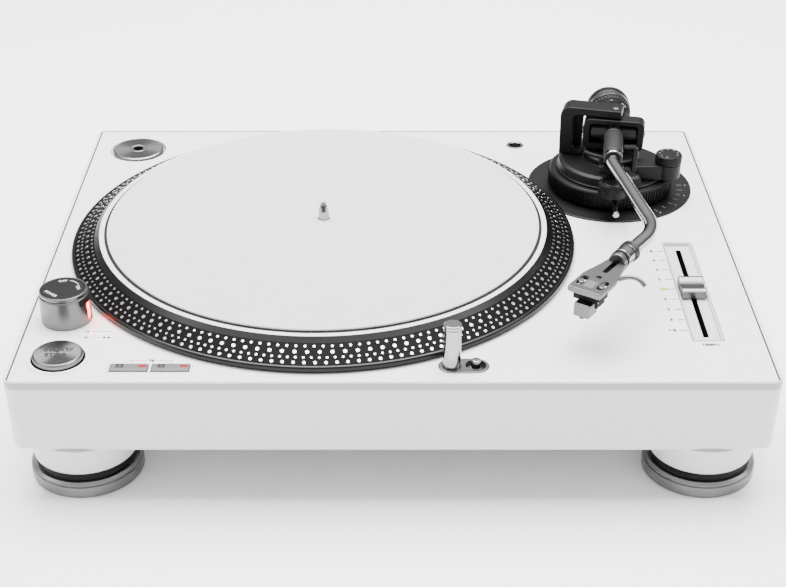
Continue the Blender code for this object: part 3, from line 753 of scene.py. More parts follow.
# %% Using a tree
def repeat(obj, tree, place, finish_with, **sizes):
    """Run a repeating tree on a small shape, then set the result in its place."""
    step = obj.modifiers.new("repeat", "NODES")
    step.node_group = tree
    for item in tree.interface.items_tree:
        if item.in_out == "INPUT" and item.name in sizes:
            step[item.identifier] = sizes[item.name]
        if item.name == "Finish":
            step[item.identifier] = finish_with
    settle(obj)
    obj.data.transform(place)
    return obj


def tooth(name, width, height, length, finish_with):
    """One ridge of a knurl: a low wedge standing on the +X side of a rim."""
    bm = bmesh.new()
    corners = [(-0.4, -width / 2), (height, -width / 6), (height, width / 6), (-0.4, width / 2)]
    ends = [[bm.verts.new((x * MM, y * MM, z * MM)) for x, y in corners]
        for z in (-length / 2, length / 2)]
    for i in range(4):
        k = (i + 1) % 4
        bm.faces.new((ends[0][i], ends[0][k], ends[1][k], ends[1][i]))
    bm.faces.new(ends[0])
    bm.faces.new(ends[1])
    return piece(name, bm, finish_with, shade=False)


def knurl(name, count, radius, length, place, finish_with, height=0.35, fill=0.8):
    """A ring of ridges round a place's own axis, at its origin's height."""
    width = 2 * math.pi * radius / count * fill
    ridge = tooth(name, width, height, length, finish_with)
    return repeat(ridge, ROUND, place, finish_with, Count=count, Radius=radius * MM, Start=0.0,
        Step=2 * math.pi / count)


def lettering(name, rows, finish_with, place, thick=0.08, bold=0.055):
    """Printed words: each row is (words, size, x, y) on the place's own plane."""
    made = bmesh.new()
    for words, size, x, y in rows:
        text = bpy.data.curves.new(name, "FONT")
        text.body = words
        text.size = size * MM
        text.extrude = thick * MM / 2
        text.offset = bold * size * MM
        text.resolution_u = 3
        text.align_x = "CENTER"
        text.align_y = "CENTER"
        guide = add_object(name, text)
        mesh = evaluated_mesh(guide)
        mesh.transform(Matrix.Translation((x * MM, y * MM, 0.0)))
        made.from_mesh(mesh)
        bpy.data.meshes.remove(mesh)
        bpy.data.objects.remove(guide, do_unlink=True)
    for face in made.faces:
        face.material_index = 0
    return piece(name, made, finish_with, place, shade=False)


print("repeat, knurl and lettering ready")

# %% [markdown]
# ## The cabinet
# The cabinet is one moulding: a shallow box with a soft rim, open underneath, with a hole or a
# recess for each control. It is made as a slab and carved with exact Booleans, because the
# holes meet the flat top at a crisp edge that a modelled mesh would struggle to keep.

# %% Cabinet shell
CABINET_LOW, CABINET_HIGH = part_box("cabinet")
WIDTH = (CABINET_HIGH.x - CABINET_LOW.x) / MM
DEPTH = (CABINET_HIGH.y - CABINET_LOW.y) / MM
SIDES = (CABINET_HIGH.z - CABINET_LOW.z) / MM
STROBE, START = middle("strobe_housing"), middle("start_stop_button")
SPEED, FADER = middle("speed_bezel"), middle("fader_panel")
LIGHT, RELEASE = middle("target_light"), middle("release_button")
ADAPTER, SOCKET = middle("adapter_45"), middle("headshell_socket")
REAR = middle("rear_panel")
AT_SPINDLE, AT_STROBE, AT_START = (upright(at.xy) for at in (SPINDLE, STROBE, START))
AT_FADER, AT_LIGHT, AT_RELEASE = (upright(at.xy) for at in (FADER, LIGHT, RELEASE))
AT_ADAPTER, AT_SOCKET = (upright(at.xy) for at in (ADAPTER, SOCKET))


def stadium(half_gap, radius):
    """Two half circles joined by straight sides."""
    return arc((half_gap, 0), radius, -90, 90, 20) + arc((-half_gap, 0), radius, 90, 270, 20)


cabinet = slab("cabinet_shell", rounded_box(WIDTH, DEPTH, 7.0, 8), -SIDES, 0.0, cabinet_white,
    upright((0, 0)), rim=1.3)
LIGHT_HALF, LIGHT_PLATE = (RELEASE.x - LIGHT.x) / 2, upright(((LIGHT.x + RELEASE.x) / 2, LIGHT.y))
inner = pocket(rounded_box(WIDTH - 7, DEPTH - 7, 3.5), -70.0, -5.0, upright((0, 0)))
light_well = pocket(stadium(LIGHT_HALF, 8.0), -8.0, 4.0, LIGHT_PLATE)
speed_well = pocket(rounded_box(49.6, 10.2, 0.8), -8.0, 4.0, upright(SPEED.xy))
fader_well = pocket(rounded_box(19.6, 124.8, 0.5), -8.0, 4.0, AT_FADER)
rear_well = pocket(rounded_box(210.0, 12.0, 0.2), -40.0, -10.0, upright((REAR.x, DEPTH / 2 - 1)))
carve(cabinet, inner, drill(62.0, 1.0, -8.0, SPINDLE.xy), drill(12.0, 1.0, -8.0, STROBE.xy),
    drill(16.3, 1.0, -8.0, START.xy), drill(20.6, 1.0, -3.0, ADAPTER.xy),
    drill(6.4, 1.0, -8.0, SOCKET.xy), drill(16.0, 1.0, -8.0, PIVOT.xy), light_well, speed_well,
    fader_well, rear_well)
give(cabinet, "deck", "white_shell", "cabinet")
recoat("base_cover", white)

# %% [markdown]
# ## Feet
# Each foot is a white tapered housing with a black rubber damper under it, and a heavy chrome
# ring that is turned by hand to level the deck. All three are turned shapes, so each is one
# profile spun about the foot's axis.

# %% Four feet
for end in ("front", "rear"):
    for side in ("left", "right"):
        label = "foot_" + end + "_" + side
        at = upright(middle(label + "_ring").xy)
        housing = spun(label + "_cone", [(0, -51.7), (33.5, -51.7), (31.8, -69.4), (30.4, -69.8),
            (0, -69.8)], white, at, edge=0.6)
        damper = spun(label + "_damper", [(5.6, -70.0), (31.0, -70.0), (30.4, -72.0),
            (30.9, -74.7), (5.6, -74.7)], deep_black, at, ring=True)
        give(joined(label + "_upper", housing, damper), "deck", "white_shell", label + "_housing")
        ring = spun(label + "_chrome", [(0, -75.0), (32.6, -75.0), (34.1, -76.4), (34.1, -77.1),
            (33.5, -77.3), (33.5, -77.9), (34.5, -78.1), (34.5, -84.8), (33.8, -85.4), (0, -85.4)],
            steel, at, 128)
        give(ring, label, "chrome", label + "_ring")

# %% [markdown]
# ## Platter and mat
# The platter is a turned casting. Its sloping rim carries four rows of bright dots on black:
# under the flashing lamp one row stands still at each exact speed. Two rows have small close
# dots and two have larger ones. A dot is a low disc with ten sides, since there are hundreds.

# %% Turned platter
BAND_IN, BAND_OUT, BAND_TOP, BAND_FOOT = 150.5, 163.5, 11.45, 4.6
PLATTER_RINGS = (
    ("platter_casting", platter_metal, 0.1, [
        (3.9, 14.2), (146.6, 14.2), (150.2, 11.2), (163.0, 4.2), (165.6, 3.9), (165.6, 1.6),
        (157.5, 1.6), (145.5, 9.6), (14.0, 9.6), (14.0, 3.0), (3.9, 3.0)]),
    ("platter_top_ring", ring_white, 0.1, [
        (143.9, 14.35), (147.0, 14.35), (147.2, 14.1), (143.9, 14.1)]),
    # painted shadow: a dull black ring at the mat's edge
    ("mat_edge_painted_shadow", deep_black, 0.05, [(141.8, 14.3), (143.9, 14.3), (143.9, 14.0), (141.8, 14.0)]),
    ("platter_shoulder", slope_metal, 0.1, [
        (147.2, 14.25), (150.5, 11.5), (150.3, 11.1), (147.0, 13.9)]),
    ("platter_lip", rim_metal, 0.25, [
        (163.5, 4.5), (164.2, 4.8), (165.4, 4.5), (166.0, 3.8), (166.0, 1.6), (163.5, 1.6)]),
    # painted shadow: a dull black ring under the lip, where the gap to the deck is dark
    ("platter_lip_painted_shadow", deep_black, 0.1, [
        (160.0, 1.8), (165.4, 1.8), (165.4, 0.7), (160.0, 0.7)]),
    ("speed_band", band_black, 0.05, [
        (BAND_IN, BAND_TOP), (BAND_OUT, BAND_FOOT), (BAND_OUT, 4.3), (BAND_IN, 11.15)]))
platter_rings = [spun(name, profile, look, AT_SPINDLE, 256, True, edge)
                 for name, look, edge, profile in PLATTER_RINGS]
SLOPE = math.atan2(BAND_TOP - BAND_FOOT, BAND_OUT - BAND_IN)


def dot_row(count, radius, size, start):
    """A row of low discs lying on the sloping band."""
    bm = bmesh.new()
    bmesh.ops.create_cone(bm, cap_ends=True, segments=10, radius1=size * MM,
        radius2=size * 0.88 * MM, depth=0.24 * MM)
    bmesh.ops.rotate(bm, verts=bm.verts, matrix=Matrix.Rotation(SLOPE, 3, "Y"))
    dot = piece("dot_row", bm, mirror_dot, shade=False)
    height = BAND_TOP - (radius - BAND_IN) * math.tan(SLOPE)
    return repeat(dot, ROUND, upright((SPINDLE.x, SPINDLE.y, height)), mirror_dot, Count=count,
        Radius=radius * MM, Start=start, Step=2 * math.pi / count)


dots = [dot_row(180, 152.2, 0.92, 0.0), dot_row(133, 155.6, 1.30, 0.01),
    dot_row(216, 158.9, 0.84, 0.02), dot_row(160, 161.9, 1.14, 0.005)]
give(joined("platter_casting_and_band", *platter_rings), "platter", "platter_metal", "platter")
give(joined("speed_dots", *dots), "platter", "platter_metal")

# %% [markdown]
# The mat is a loose disc of pale cloth on the platter, a real sheet. Its threads come from
# the woven group, so the mesh only needs its thickness and a softly rounded edge.

# %% Mat, spindle and motor
MAT_LOW, MAT_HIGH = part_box("slipmat")
MAT_RADIUS = (MAT_HIGH.x - MAT_LOW.x) / 2 / MM
mat = spun("cloth_mat", [(3.9, 15.8), (MAT_RADIUS - 0.3, 15.8), (MAT_RADIUS, 15.3),
    (MAT_RADIUS, 14.6), (3.9, 14.6)], cloth, AT_SPINDLE, 192, True, 0.2)
give(mat, "mat", "mat_felt", "slipmat")
spindle = spun("centre_pin", [(0, 28.0), (1.0, 27.8), (2.4, 25.0), (3.5, 20.6), (3.5, -33.5),
    (0, -33.5)], chrome, AT_SPINDLE, 48, edge=0.8)
give(spindle, "platter", "chrome", "spindle")

# %% [markdown]
# ## Controls on the left
# A drum tower holds the flashing lamp, and its cap is the power switch. Below it is the broad
# start and stop button, faced on a lathe so that highlights fan out over it, and then the two
# speed keys in their shared recess. The words on them are plain control labels.

# %% Lamp tower
tower = spun("lamp_tower", [(0, 17.9), (13.6, 17.9), (13.8, 18.4), (14.6, 18.4), (15.0, 17.8),
    (15.5, 0.3), (11.7, 0.3), (11.7, -8.0), (0, -8.0)], silver, AT_STROBE, 96)
LAMP = middle("strobe_window")
LAMP_TURN = math.atan2(LAMP.y - STROBE.y, LAMP.x - STROBE.x) - math.radians(24)
LAMP_WAY = Vector((math.cos(LAMP_TURN), math.sin(LAMP_TURN)))
window_at = STROBE.xy + LAMP_WAY * 13.6
carve(tower, bar("drill", (6.4, 6.0, 15.0), (*window_at, 9.3), silver, 0.5, 0.4, LAMP_TURN),
    drill(4.3, 20.0, 7.0, STROBE.xy, 48))
visor_line = arc((0, 0), 15.0, -42, 30, 24) + arc((0, 0), 15.7, 30, -42, 24)
visor = slab("lamp_visor", visor_line, 14.2, 18.2, deep_black, AT_STROBE, rim=0.2)
give(joined("lamp_tower_body", tower, visor), "deck", "silver_metal", "strobe_housing")
lens_at = STROBE.xy + LAMP_WAY * 12.8
lamp_lens = bar("lamp_lens", (3.4, 5.2, 14.0), (*lens_at, 9.1), red_lamp, 0.8, 0.4, LAMP_TURN)
give(lamp_lens, "deck", "red_window", "strobe_window")
cap = spun("power_cap", [(0, 21.0), (12.9, 21.0), (13.3, 20.7), (13.3, 18.6), (4.0, 18.6),
    (4.0, 8.0), (0, 8.0)], black, AT_STROBE, 96)
cap_ring = spun("power_cap_ring", [(13.4, 21.0), (14.1, 21.0), (14.4, 20.6), (14.4, 18.7),
    (13.4, 18.7)], silver, AT_STROBE, 96, True)
cap_top = upright((STROBE.x, STROBE.y, 21.02))
cap_words = []
for word, round_at, turn in (("OFF", 100, 8), ("ON", 6, -70), ("POWER", 226, -40)):
    spot = Vector((math.cos(math.radians(round_at)), math.sin(math.radians(round_at)), 0)) * 9.0
    where = cap_top @ Matrix.Translation(spot * MM) @ Matrix.Rotation(math.radians(turn), 4, "Z")
    cap_words.append(lettering("power_word", [(word, 3.0, 0, 0)], white_ink, where, bold=0.0))
arrow_path = [(STROBE.x + x, STROBE.y + y, TOP + 21.03) for x, y in arc((0, 0), 9.8, 74, 26, 12)]
cap_arrow = sweep("power_arrow", arrow_path, 0.22, white_ink, 6)
give(joined("power_cap_disc", cap, cap_ring, cap_arrow), "power_knob", "black_plastic",
    "power_knob")
give(joined("power_words", *cap_words), "power_knob", "black_plastic")

# %% Start and stop button
start_metal = spun_finish("start_button_metal", (0.17, 0.17, 0.17), 0.26, START, 0.95)
button = spun("start_disc", [(0, 3.9), (13.7, 3.9), (14.9, 3.0), (14.9, -2.0), (3.0, -2.0),
    (3.0, -10.0), (0, -10.0)], start_metal, AT_START, 128)
give(button, "start_stop", "silver_metal", "start_stop_button")
start_words = lettering("start_words", [("START/", 5.2, 0.0, 2.9), ("STOP", 5.2, -0.8, -2.7)],
    black_ink, upright((START.x, START.y, 3.92)))
give(start_words, "start_stop", "silver_metal")
# painted shade: the ring round the button is dull black where the button's side casts shade
bezel_painted_shade = spun("start_ring_painted_shade", [(15.3, 0.15), (16.0, 0.15), (16.0, -5.5), (3.3, -5.5), (3.3, -3.8),
    (15.3, -3.8)], deep_black, AT_START, 96, True, 0.1)
halo = spun("start_halo", [(16.0, 0.5), (16.3, 0.6), (18.0, 0.6), (18.4, 0.3), (18.4, 0.05),
    (16.0, 0.05)], white, AT_START, 96, True, 0.15)
give(joined("start_ring_and_halo", bezel_painted_shade, halo), "deck", "white_shell", "start_stop_bezel")

# %% Speed keys
tray = slab("speed_tray", rounded_box(49.2, 9.8, 0.6), -5.0, 0.15, white, upright(SPEED.xy),
    rim=0.25)
for label, body in (("33", "key_33"), ("45", "key_45")):
    spot = middle("button_" + label)
    hole = bar("drill", (22.9, 8.2, 14.0), (spot.x, spot.y, 0.0), white, 0.3)
    carve(tray, hole)
    key = bar("speed_key_" + label, (22.3, 7.6, 6.2), (spot.x, spot.y, -1.9), key_grey, 0.5, 0.6)
    # painted shade: a dull black strip on each key's front face, where the recess shades it
    key_front_shade = bar("key_front_painted_shade", (22.5, 0.5, 5.0), (spot.x, spot.y - 3.7, -2.0), deep_black, 0.1, 0.1)
    dash = bar("key_dash", (4.6, 1.9, 0.3), (spot.x + 7.8, spot.y + 0.8, 1.22), red_dash, 0.3, 0.1)
    number = lettering("key_number", [(label, 5.2, -5.5, 0.8)], black_ink,
        upright((spot.x, spot.y, 1.24)))
    give(joined("speed_key_" + label, key, key_front_shade, dash), body, "grey_key", "button_" + label)
    number.name = "speed_number_" + label
    give(number, body, "grey_key")
give(tray, "deck", "white_shell", "speed_bezel")

# %% [markdown]
# ## Target light, adapter and spare socket
# The slim chrome post throws a small light across the grooves and drops into the deck when it
# is pushed down; the little button beside it lets it up again. The adapter for records with a
# large hole rests in its own recess, and the small socket keeps a spare headshell.

# %% Post, button and their plate
cover = slab("light_cover", stadium(LIGHT_HALF, 7.7), -5.0, 0.5, silver, LIGHT_PLATE, rim=0.5)
carve(cover, drill(5.5, 3.0, -8.0, LIGHT.xy), drill(6.1, 3.0, -3.2, RELEASE.xy),
    drill(2.0, -2.0, -8.0, RELEASE.xy))
give(cover, "deck", "silver_metal", "target_escutcheon")
post = spun("light_post", [(0, 28.6), (4.6, 28.6), (5.2, 28.0), (5.2, 26.6), (4.9, 26.4),
    (4.9, 26.0), (5.2, 25.8), (5.2, -8.0), (0, -8.0)], chrome, AT_LIGHT, 64, edge=0.25)
give(post, "target_light", "chrome", "target_light")
release_pin = spun("release_pin", [(0, 4.5), (2.3, 4.5), (2.9, 3.9), (2.9, -0.8), (1.7, -0.8),
    (1.7, -12.0), (0, -12.0)], chrome, AT_RELEASE, 48)
give(release_pin, "release", "chrome", "release_button")

# %% Adapter and socket
adapter_metal = spun_finish("adapter_metal", (0.19, 0.19, 0.19), 0.28, ADAPTER, 0.8)
adapter = spun("large_hole_adapter", [(3.65, 1.2), (4.6, 1.2), (4.9, 0.8), (5.9, 0.8), (6.2, 1.2),
    (17.3, 1.2), (18.3, 0.5), (18.3, -2.7), (3.65, -2.7)], adapter_metal, AT_ADAPTER, 128, True,
    0.15)
give(adapter, "adapter", "silver_metal", "adapter_45")
# painted shade: a dull black disc in the adapter's centre hole
adapter_painted_shade = spun("adapter_bore_painted_shade", [(0, -2.6), (3.4, -2.6), (3.4, -2.9), (0, -2.9)],
    deep_black, AT_ADAPTER, 32, edge=0.05)
give(adapter_painted_shade, "deck", "black_plastic")
socket = spun("spare_socket", [(0, -4.0), (4.2, -4.0), (4.2, 0.2), (4.6, 0.4), (6.0, 0.4),
    (6.0, -8.0), (0, -8.0)], chrome, AT_SOCKET, 64, edge=0.15)
# painted shade: a dull black disc in the socket's hole
socket_painted_shade = spun("socket_painted_shade", [(0, -3.6), (4.1, -3.6), (4.1, -3.9), (0, -3.9)], deep_black,
    AT_SOCKET, 32, edge=0.05)
give(joined("spare_socket_ring", socket, socket_painted_shade), "deck", "chrome", "headshell_socket")

# %% [markdown]
# ## Tempo fader
# The fader slides in a long recess. Its panel is carved from a slab, the cap is a hollow-faced
# bar cut from its side view, and the ticks beside it are one short line repeated along the
# travel. The middle tick is a green lamp that marks the exact speed.

# %% Fader panel and cap
panel = slab("fader_tray", rounded_box(19.0, 124.2, 0.4), -5.0, 0.1, panel_grey, AT_FADER, rim=0.2)
floor_cut = pocket(rounded_box(16.8, 122.0, 0.4), -2.0, 4.0, AT_FADER)
slot_cut = pocket(rounded_box(3.2, 109.8, 0.4), -9.0, 4.0, AT_FADER)
carve(panel, floor_cut, slot_cut)
# painted shade: a dull black liner on the slot's walls
fader_slot_painted_shade = slab("fader_slot_painted_shade", rounded_box(3.5, 110.1, 1.2), -5.2, -1.93, deep_black, AT_FADER,
    0.05)
carve(fader_slot_painted_shade, pocket(rounded_box(2.8, 109.4, 1.2), -9.0, 4.0, AT_FADER))
# painted shade: a thin grey line over the gap round the fader tray
tray_gap_painted_shade = slab("tray_gap_painted_shade", rounded_box(19.6, 124.8, 0.6), 0.02, 0.16, grey_print_and_gap_shade, AT_FADER, 0.04)
carve(tray_gap_painted_shade, pocket(rounded_box(18.7, 123.9, 0.4), -1.0, 1.0, AT_FADER))
give(joined("fader_tray_and_slot", panel, fader_slot_painted_shade, tray_gap_painted_shade), "deck", "white_shell",
    "fader_panel")
recoat("fader_body", deep_black)
CAP = middle("fader_cap")
side_view = [(-10, -1.2), (10, -1.2), (10, 3.4), (8.6, 4.6), (7.2, 4.6)]
side_view += [(y, z) for y, z in arc((0, 19.2), 16.2, -64, -116, 14)]
side_view += [(-7.2, 4.6), (-8.6, 4.6), (-10, 3.4)]
across = upright(CAP.xy) @ Matrix.Rotation(math.pi / 2, 4, "Z") @ Matrix.Rotation(math.pi / 2, 4,
    "X")
fader_cap = slab("fader_grip", side_view, -7.6, 7.6, silver, across, 0.4, 0.4)
mark = bar("grip_line", (15.3, 0.7, 0.4), (CAP.x, CAP.y, 3.0), deep_black, 0.1, 0.1)
grip_stem = bar("grip_stem", (2.2, 6.0, 12.0), (CAP.x, CAP.y, -6.6), deep_black, 0.3, 0.2)
give(joined("fader_grip_bar", fader_cap, mark, grip_stem), "fader", "silver_metal", "fader_cap")

# %% Ticks and printed words
PITCH = 12.5
PRINT, KEYS_Y, LAMP_X = 0.06, SPEED.y + 8.2, STROBE.x + 15.0
KEYS_LEFT, KEYS_RIGHT = SPEED.x - 11.8, SPEED.x + 12.0
LAMP_ROWS = (STROBE.y - 15.6, STROBE.y - 22.4)
tick = bar("tempo_ticks", (4.2, 0.75, 0.06), (0, 0, -TOP), grey_print_and_gap_shade, 0.05, 0)
ticks = repeat(tick, LINE, upright((FADER.x - 12.6, FADER.y - 4 * PITCH, 0.04)), grey_print_and_gap_shade, Count=9,
    Pitch=(0.0, PITCH * MM, 0.0))
scale_words = [(str(abs(2 * k)) if k else "", 3.6, FADER.x - 18.5, FADER.y + k * PITCH)
    for k in range(-4, 5) if k]
scale_words += [("-", 3.6, FADER.x - 21.5, FADER.y + 4 * PITCH),
    ("+", 3.6, FADER.x - 21.5, FADER.y - 4 * PITCH), ("TEMPO", 3.3, FADER.x + 0.4, FADER.y - 66.6),
    ("78", 3.2, SPEED.x, KEYS_Y), ("33", 2.4, LAMP_X, LAMP_ROWS[0]),
    ("45", 2.4, LAMP_X, LAMP_ROWS[1])]
deck_words = lettering("deck_words", scale_words, grey_print_and_gap_shade, upright((0, 0, 0.03)))
brackets = []
for left, right, y in ((KEYS_LEFT, SPEED.x - 3.0, KEYS_Y), (SPEED.x + 3.0, KEYS_RIGHT, KEYS_Y),
        (STROBE.x + 18.0, STROBE.x + 24.0, LAMP_ROWS[0]),
        (STROBE.x + 18.0, STROBE.x + 24.0, LAMP_ROWS[1])):
    brackets.append(bar("print_line", (right - left, 0.35, PRINT), ((left + right) / 2, y, 0.04),
        grey_print_and_gap_shade, 0.05, 0))
for x in (KEYS_LEFT, KEYS_RIGHT):
    brackets.append(bar("print_drop", (0.35, 2.6, PRINT), (x, SPEED.y + 7.0, 0.04), grey_print_and_gap_shade, 0.05,
        0))
for x, y, size in ((26.2, -15.6, 0.6), (26.2, -22.4, 1.0), (28.8, -15.6, 0.6), (28.8, -22.4, 1.0)):
    brackets.append(spun("print_dot", [(0, 0.07), (size, 0.07), (size, 0.0), (0, 0.0)], grey_print_and_gap_shade,
        upright((STROBE.x + x, STROBE.y + y)), 16, edge=0.01))
give(joined("deck_lines", ticks, *brackets), "deck", "white_shell")
give(deck_words, "deck", "white_shell")
zero = bar("tempo_zero_lamp", (5.4, 2.2, 0.3), (FADER.x - 17.6, FADER.y, 0.1), green_dash, 0.3,
    0.1)
give(zero, "deck", "red_window")

# %% [markdown]
# ## Arm base
# The arm stands on a round black base that can be raised: a knurled ring turns on a thread and
# lifts everything above it. The knurl is a low wedge repeated round the rim. Scale marks on
# the flat ring under it show how high the base stands.

# %% Base plate, height ring and base
PLACE = upright(PIVOT.xy)
plate = spun("arm_flange", [(17, 1.2), (57.0, 1.2), (57.6, 0.7), (57.6, 0.3), (17, 0.3)], black,
    PLACE, 192, True)
long_mark = bar("height_marks", (3.6, 0.45, 0.06), (0, 0, -TOP), white_ink, 0.05, 0)
MARKS_FROM, MARKS_AT = -56, upright((PIVOT.x, PIVOT.y, 1.22))
marks = repeat(long_mark, ROUND, MARKS_AT, faint_ink, Count=7, Radius=0.0495,
    Start=math.radians(MARKS_FROM), Step=math.radians(9))
marks_words = lettering("height_numbers", numbers_round(4, MARKS_FROM, 18, 2.4, 53.8), faint_ink,
    MARKS_AT)
give(joined("arm_flange_marked", plate, marks, marks_words), "deck", "black_plastic",
    "arm_base_plate")
ring = spun("height_ring_body", [(38.3, 14.5), (41.6, 14.5), (42.2, 14.0), (42.9, 13.2),
    (42.9, 3.4), (42.2, 2.0), (38.3, 2.0)], black, PLACE, 160, True)
teeth = knurl("height_ring_knurl", 112, 42.7, 9.0, upright((PIVOT.x, PIVOT.y, 8.3)), black, 0.95,
    0.62)
give(joined("height_ring_knurled", ring, teeth), "height_ring", "black_plastic", "height_ring")
turret = spun("arm_base_body", [(4, 27), (17.6, 27), (19, 26), (19, 22.4), (34.6, 22.4),
    (36.8, 21.0), (37.6, 16.4), (37.9, 16.0), (37.9, 2.3), (4, 2.3)], black, PLACE, 128, True, 0.5)
TURRET = math.radians(205)
side_at = PIVOT.xy - Vector((math.cos(TURRET), math.sin(TURRET))) * 32
step_cut = slab("drill", rounded_box(62, 100, 0.5), 16.0, 36.0, black,
    upright(side_at) @ Matrix.Rotation(TURRET, 4, "Z"), 0)
carve(step_cut, drill(19.2, 40.0, 10.0, PIVOT.xy))


def round_pivot(radius, degrees, height=0.0):
    """A world point round the pivot, its angle from the front toward the left."""
    angle = math.radians(degrees)
    return Vector((PIVOT.x - radius * math.sin(angle), PIVOT.y - radius * math.cos(angle),
        TOP + height))


carve(turret, step_cut, drill(2.2, 30.0, 5.0, round_pivot(26, 24).xy, 32))
base_lip = spun("arm_base_lip", [(37.9, 15.9), (38.2, 15.6), (38.2, 14.9), (37.9, 14.8)],
    dark_steel, PLACE, 128, True, 0.05)
base_screw = spun("arm_base_screw", [(0, 16.6), (1.6, 16.6), (2.0, 16.2), (2.0, 15.8), (0, 15.8)],
    steel, upright(round_pivot(28, 260).xy), 24, edge=0.1)
give(joined("arm_base_round", turret, base_lip, base_screw), "arm_base", "black_plastic",
    "arm_base")
LOCK = joint_at("lock_turn")
lock = spun("lock_hub", [(0, 12.0), (3.4, 12.0), (4.0, 11.4), (4.0, 1.9), (0, 1.9)], black,
    upright(LOCK.xy), 48)
handle_at = round_pivot(50.5, -158)
handle = bar("lock_wing", (14.0, 3.6, 3.0), (handle_at.x, handle_at.y, 10.0), black, 1.6, 0.5,
    math.radians(-20))
give(joined("height_lock_wing", lock, handle), "height_lock", "black_plastic", "height_lock")

# %% [markdown]
# ## Yoke, arm rest and small parts of the base
# A bracket bends over the pivot and holds the upper bearing, whose bright lock screw shows on
# top. In front of it stand the cup of the cueing damper and the rest with its clip. The knob
# on the right sets the sideways pull that keeps the stylus centred in the groove.

# %% Yoke
YOKE = math.radians(14)
yoke_place = PLACE @ Matrix.Rotation(-YOKE, 4, "Z") @ Matrix.Rotation(math.pi / 2, 4, "X")
yoke_outline = arc((-30.5, 50.5), 7.0, 180, 90, 14) + [(3.4, 57.5), (4.2, 57.2), (4.5, 56.4),
    (4.5, 52.0)]
yoke_outline += arc((-25.0, 48.8), 3.2, 90, 180, 8)
yoke_outline += [(-28.2, 29.0), (-26.0, 26.5), (-20.6, 25.0), (-20.6, 22.7), (-37.0, 22.7)]
yoke = slab("yoke_bracket", yoke_outline, -11.0, 4.0, black, yoke_place, 0.9, 0.9)
top_nut = spun("yoke_nut", [(0, 58.6), (2.0, 58.6), (2.3, 58.3), (2.3, 57.2), (0, 57.2)], steel,
    PLACE, 6, edge=0.1)
web_outline = [(-29.5, 24.0), (-22.6, 24.0), (-22.6, 52.0), (-29.5, 52.0)]
web = slab("yoke_web", web_outline, -10.5, -5.0, deep_black, yoke_place, 0.3)
give(joined("yoke_over_pivot", yoke, web, top_nut), "arm_base", "black_plastic", "yoke")

# %% Rest, clip, cup, lever and lift
REST_Y = 39.5
CUP = Vector((JOINTS["cue_lower"]["pos_m"][0] / MM - 1.5, JOINTS["cue_lower"]["pos_m"][1] / MM))
cup = spun("damper_cup", [(7.0, 26.5), (9.4, 26.5), (9.8, 26.0), (9.8, 17.5), (7.0, 17.5)], black,
    upright(CUP), 64, True)
cup_knurl = knurl("cup_knurl", 44, 9.7, 3.0, upright((CUP.x, CUP.y, 24.0)), black, 0.45)
cup_cap = spun("cup_cap", [(0, 26.0), (5.6, 26.0), (6.9, 25.2), (6.9, 18.0), (0, 18.0)],
    dark_steel, upright(CUP), 48)
rest_bars = [
    bar("rest_web", (8, 4, 4), (CUP.x, 38.8, 20.0), black, 0.5),
    bar("rest_post", (6, 3.6, 12.6), (CUP.x - 1, 38.9, 24.5), black, 0.8),
    bar("rest_bar", (22, 4.4, 3.0), (150.0, REST_Y, 30.5), black, 0.8, 0.5),
    bar("rest_lug", (4.4, 4, 4.6), (141.6, REST_Y, 31.5), black, 0.8, 0.5)]
give(joined("rest_and_cup", cup, cup_knurl, cup_cap, *rest_bars), "arm_base", "black_plastic",
    "arm_rest")
clip_bars = [
    bar("clip_leg", (3.4, 4, 17), (163.3, REST_Y, 38.5), black, 0.8, 0.6),
    bar("clip_nib", (8, 4, 1.4), (159.4, REST_Y, 47.6), black, 0.6, 0.3)]
give(joined("arm_clip_hook", *clip_bars), "arm_clip", "black_plastic", "arm_clip")
lever_at = joint_at("cue_lower")
lever = spun("lever_hub", [(0, 4.0), (2.2, 4.0), (2.6, 3.6), (2.6, -4.0), (0, -4.0)], black,
    facing(lever_at, (1, 0, 0)), 48)
pin_way = Vector((-math.sin(math.radians(4)), -math.cos(math.radians(4)), 0))
pin = spun("lever_pin", [(0, 24.0), (1.7, 24.0), (2.1, 23.6), (2.1, 2.0), (1.7, 1.0), (1.7, 0.0),
    (0, 0.0)], chrome, facing(lever_at, pin_way), 40, edge=0.5)
give(joined("cue_lever_pin", lever, pin), "cue_lever", "chrome", "cue_lever")
lift_path = [round_pivot(26.0, angle, 33.0) for angle in range(-6, 55, 2)]
lift = sweep("lift_bow", lift_path, 1.2, deep_black, 16)
lift_stem = spun("lift_stem", [(0, 33.0), (1.7, 33.0), (1.7, 12.0), (0, 12.0)], deep_black,
    upright(round_pivot(26.0, 24).xy), 24)
give(joined("cue_lift_bow", lift, lift_stem), "cue_lift", "black_plastic", "cue_lift")

# %% Side-pull knob
KNOB = joint_at("antiskate_turn")
bracket = slab("knob_bracket", rounded_box(25, 15, 2.0), 16.7, 26.5, black,
    upright((179.0, KNOB.y)), 0.6)
bracket_end = spun("knob_seat", [(0, 26.5), (8.9, 26.5), (9.0, 26.3), (9.0, 16.7), (0, 16.7)],
    black, upright(KNOB.xy), 64)
give(joined("knob_bracket_round", bracket, bracket_end), "arm_base", "black_plastic",
    "antiskate_bracket")
knob = spun("pull_knob", [(0, 33.0), (8.4, 33.0), (9.0, 32.4), (9.0, 27.2), (8.8, 26.8),
    (0, 26.8)], black, upright(KNOB.xy), 72)
knob_teeth = knurl("pull_knob_knurl", 60, 8.9, 4.4, upright((KNOB.x, KNOB.y, 29.8)), black, 0.25)
knob_numbers = lettering("pull_numbers", numbers_round(8, 250, -40, 2.3, 6.3), faint_ink,
    upright((KNOB.x, KNOB.y, 33.02)))
give(joined("pull_knob_marked", knob, knob_teeth, knob_numbers), "antiskate_knob", "black_plastic",
    "antiskate_knob")

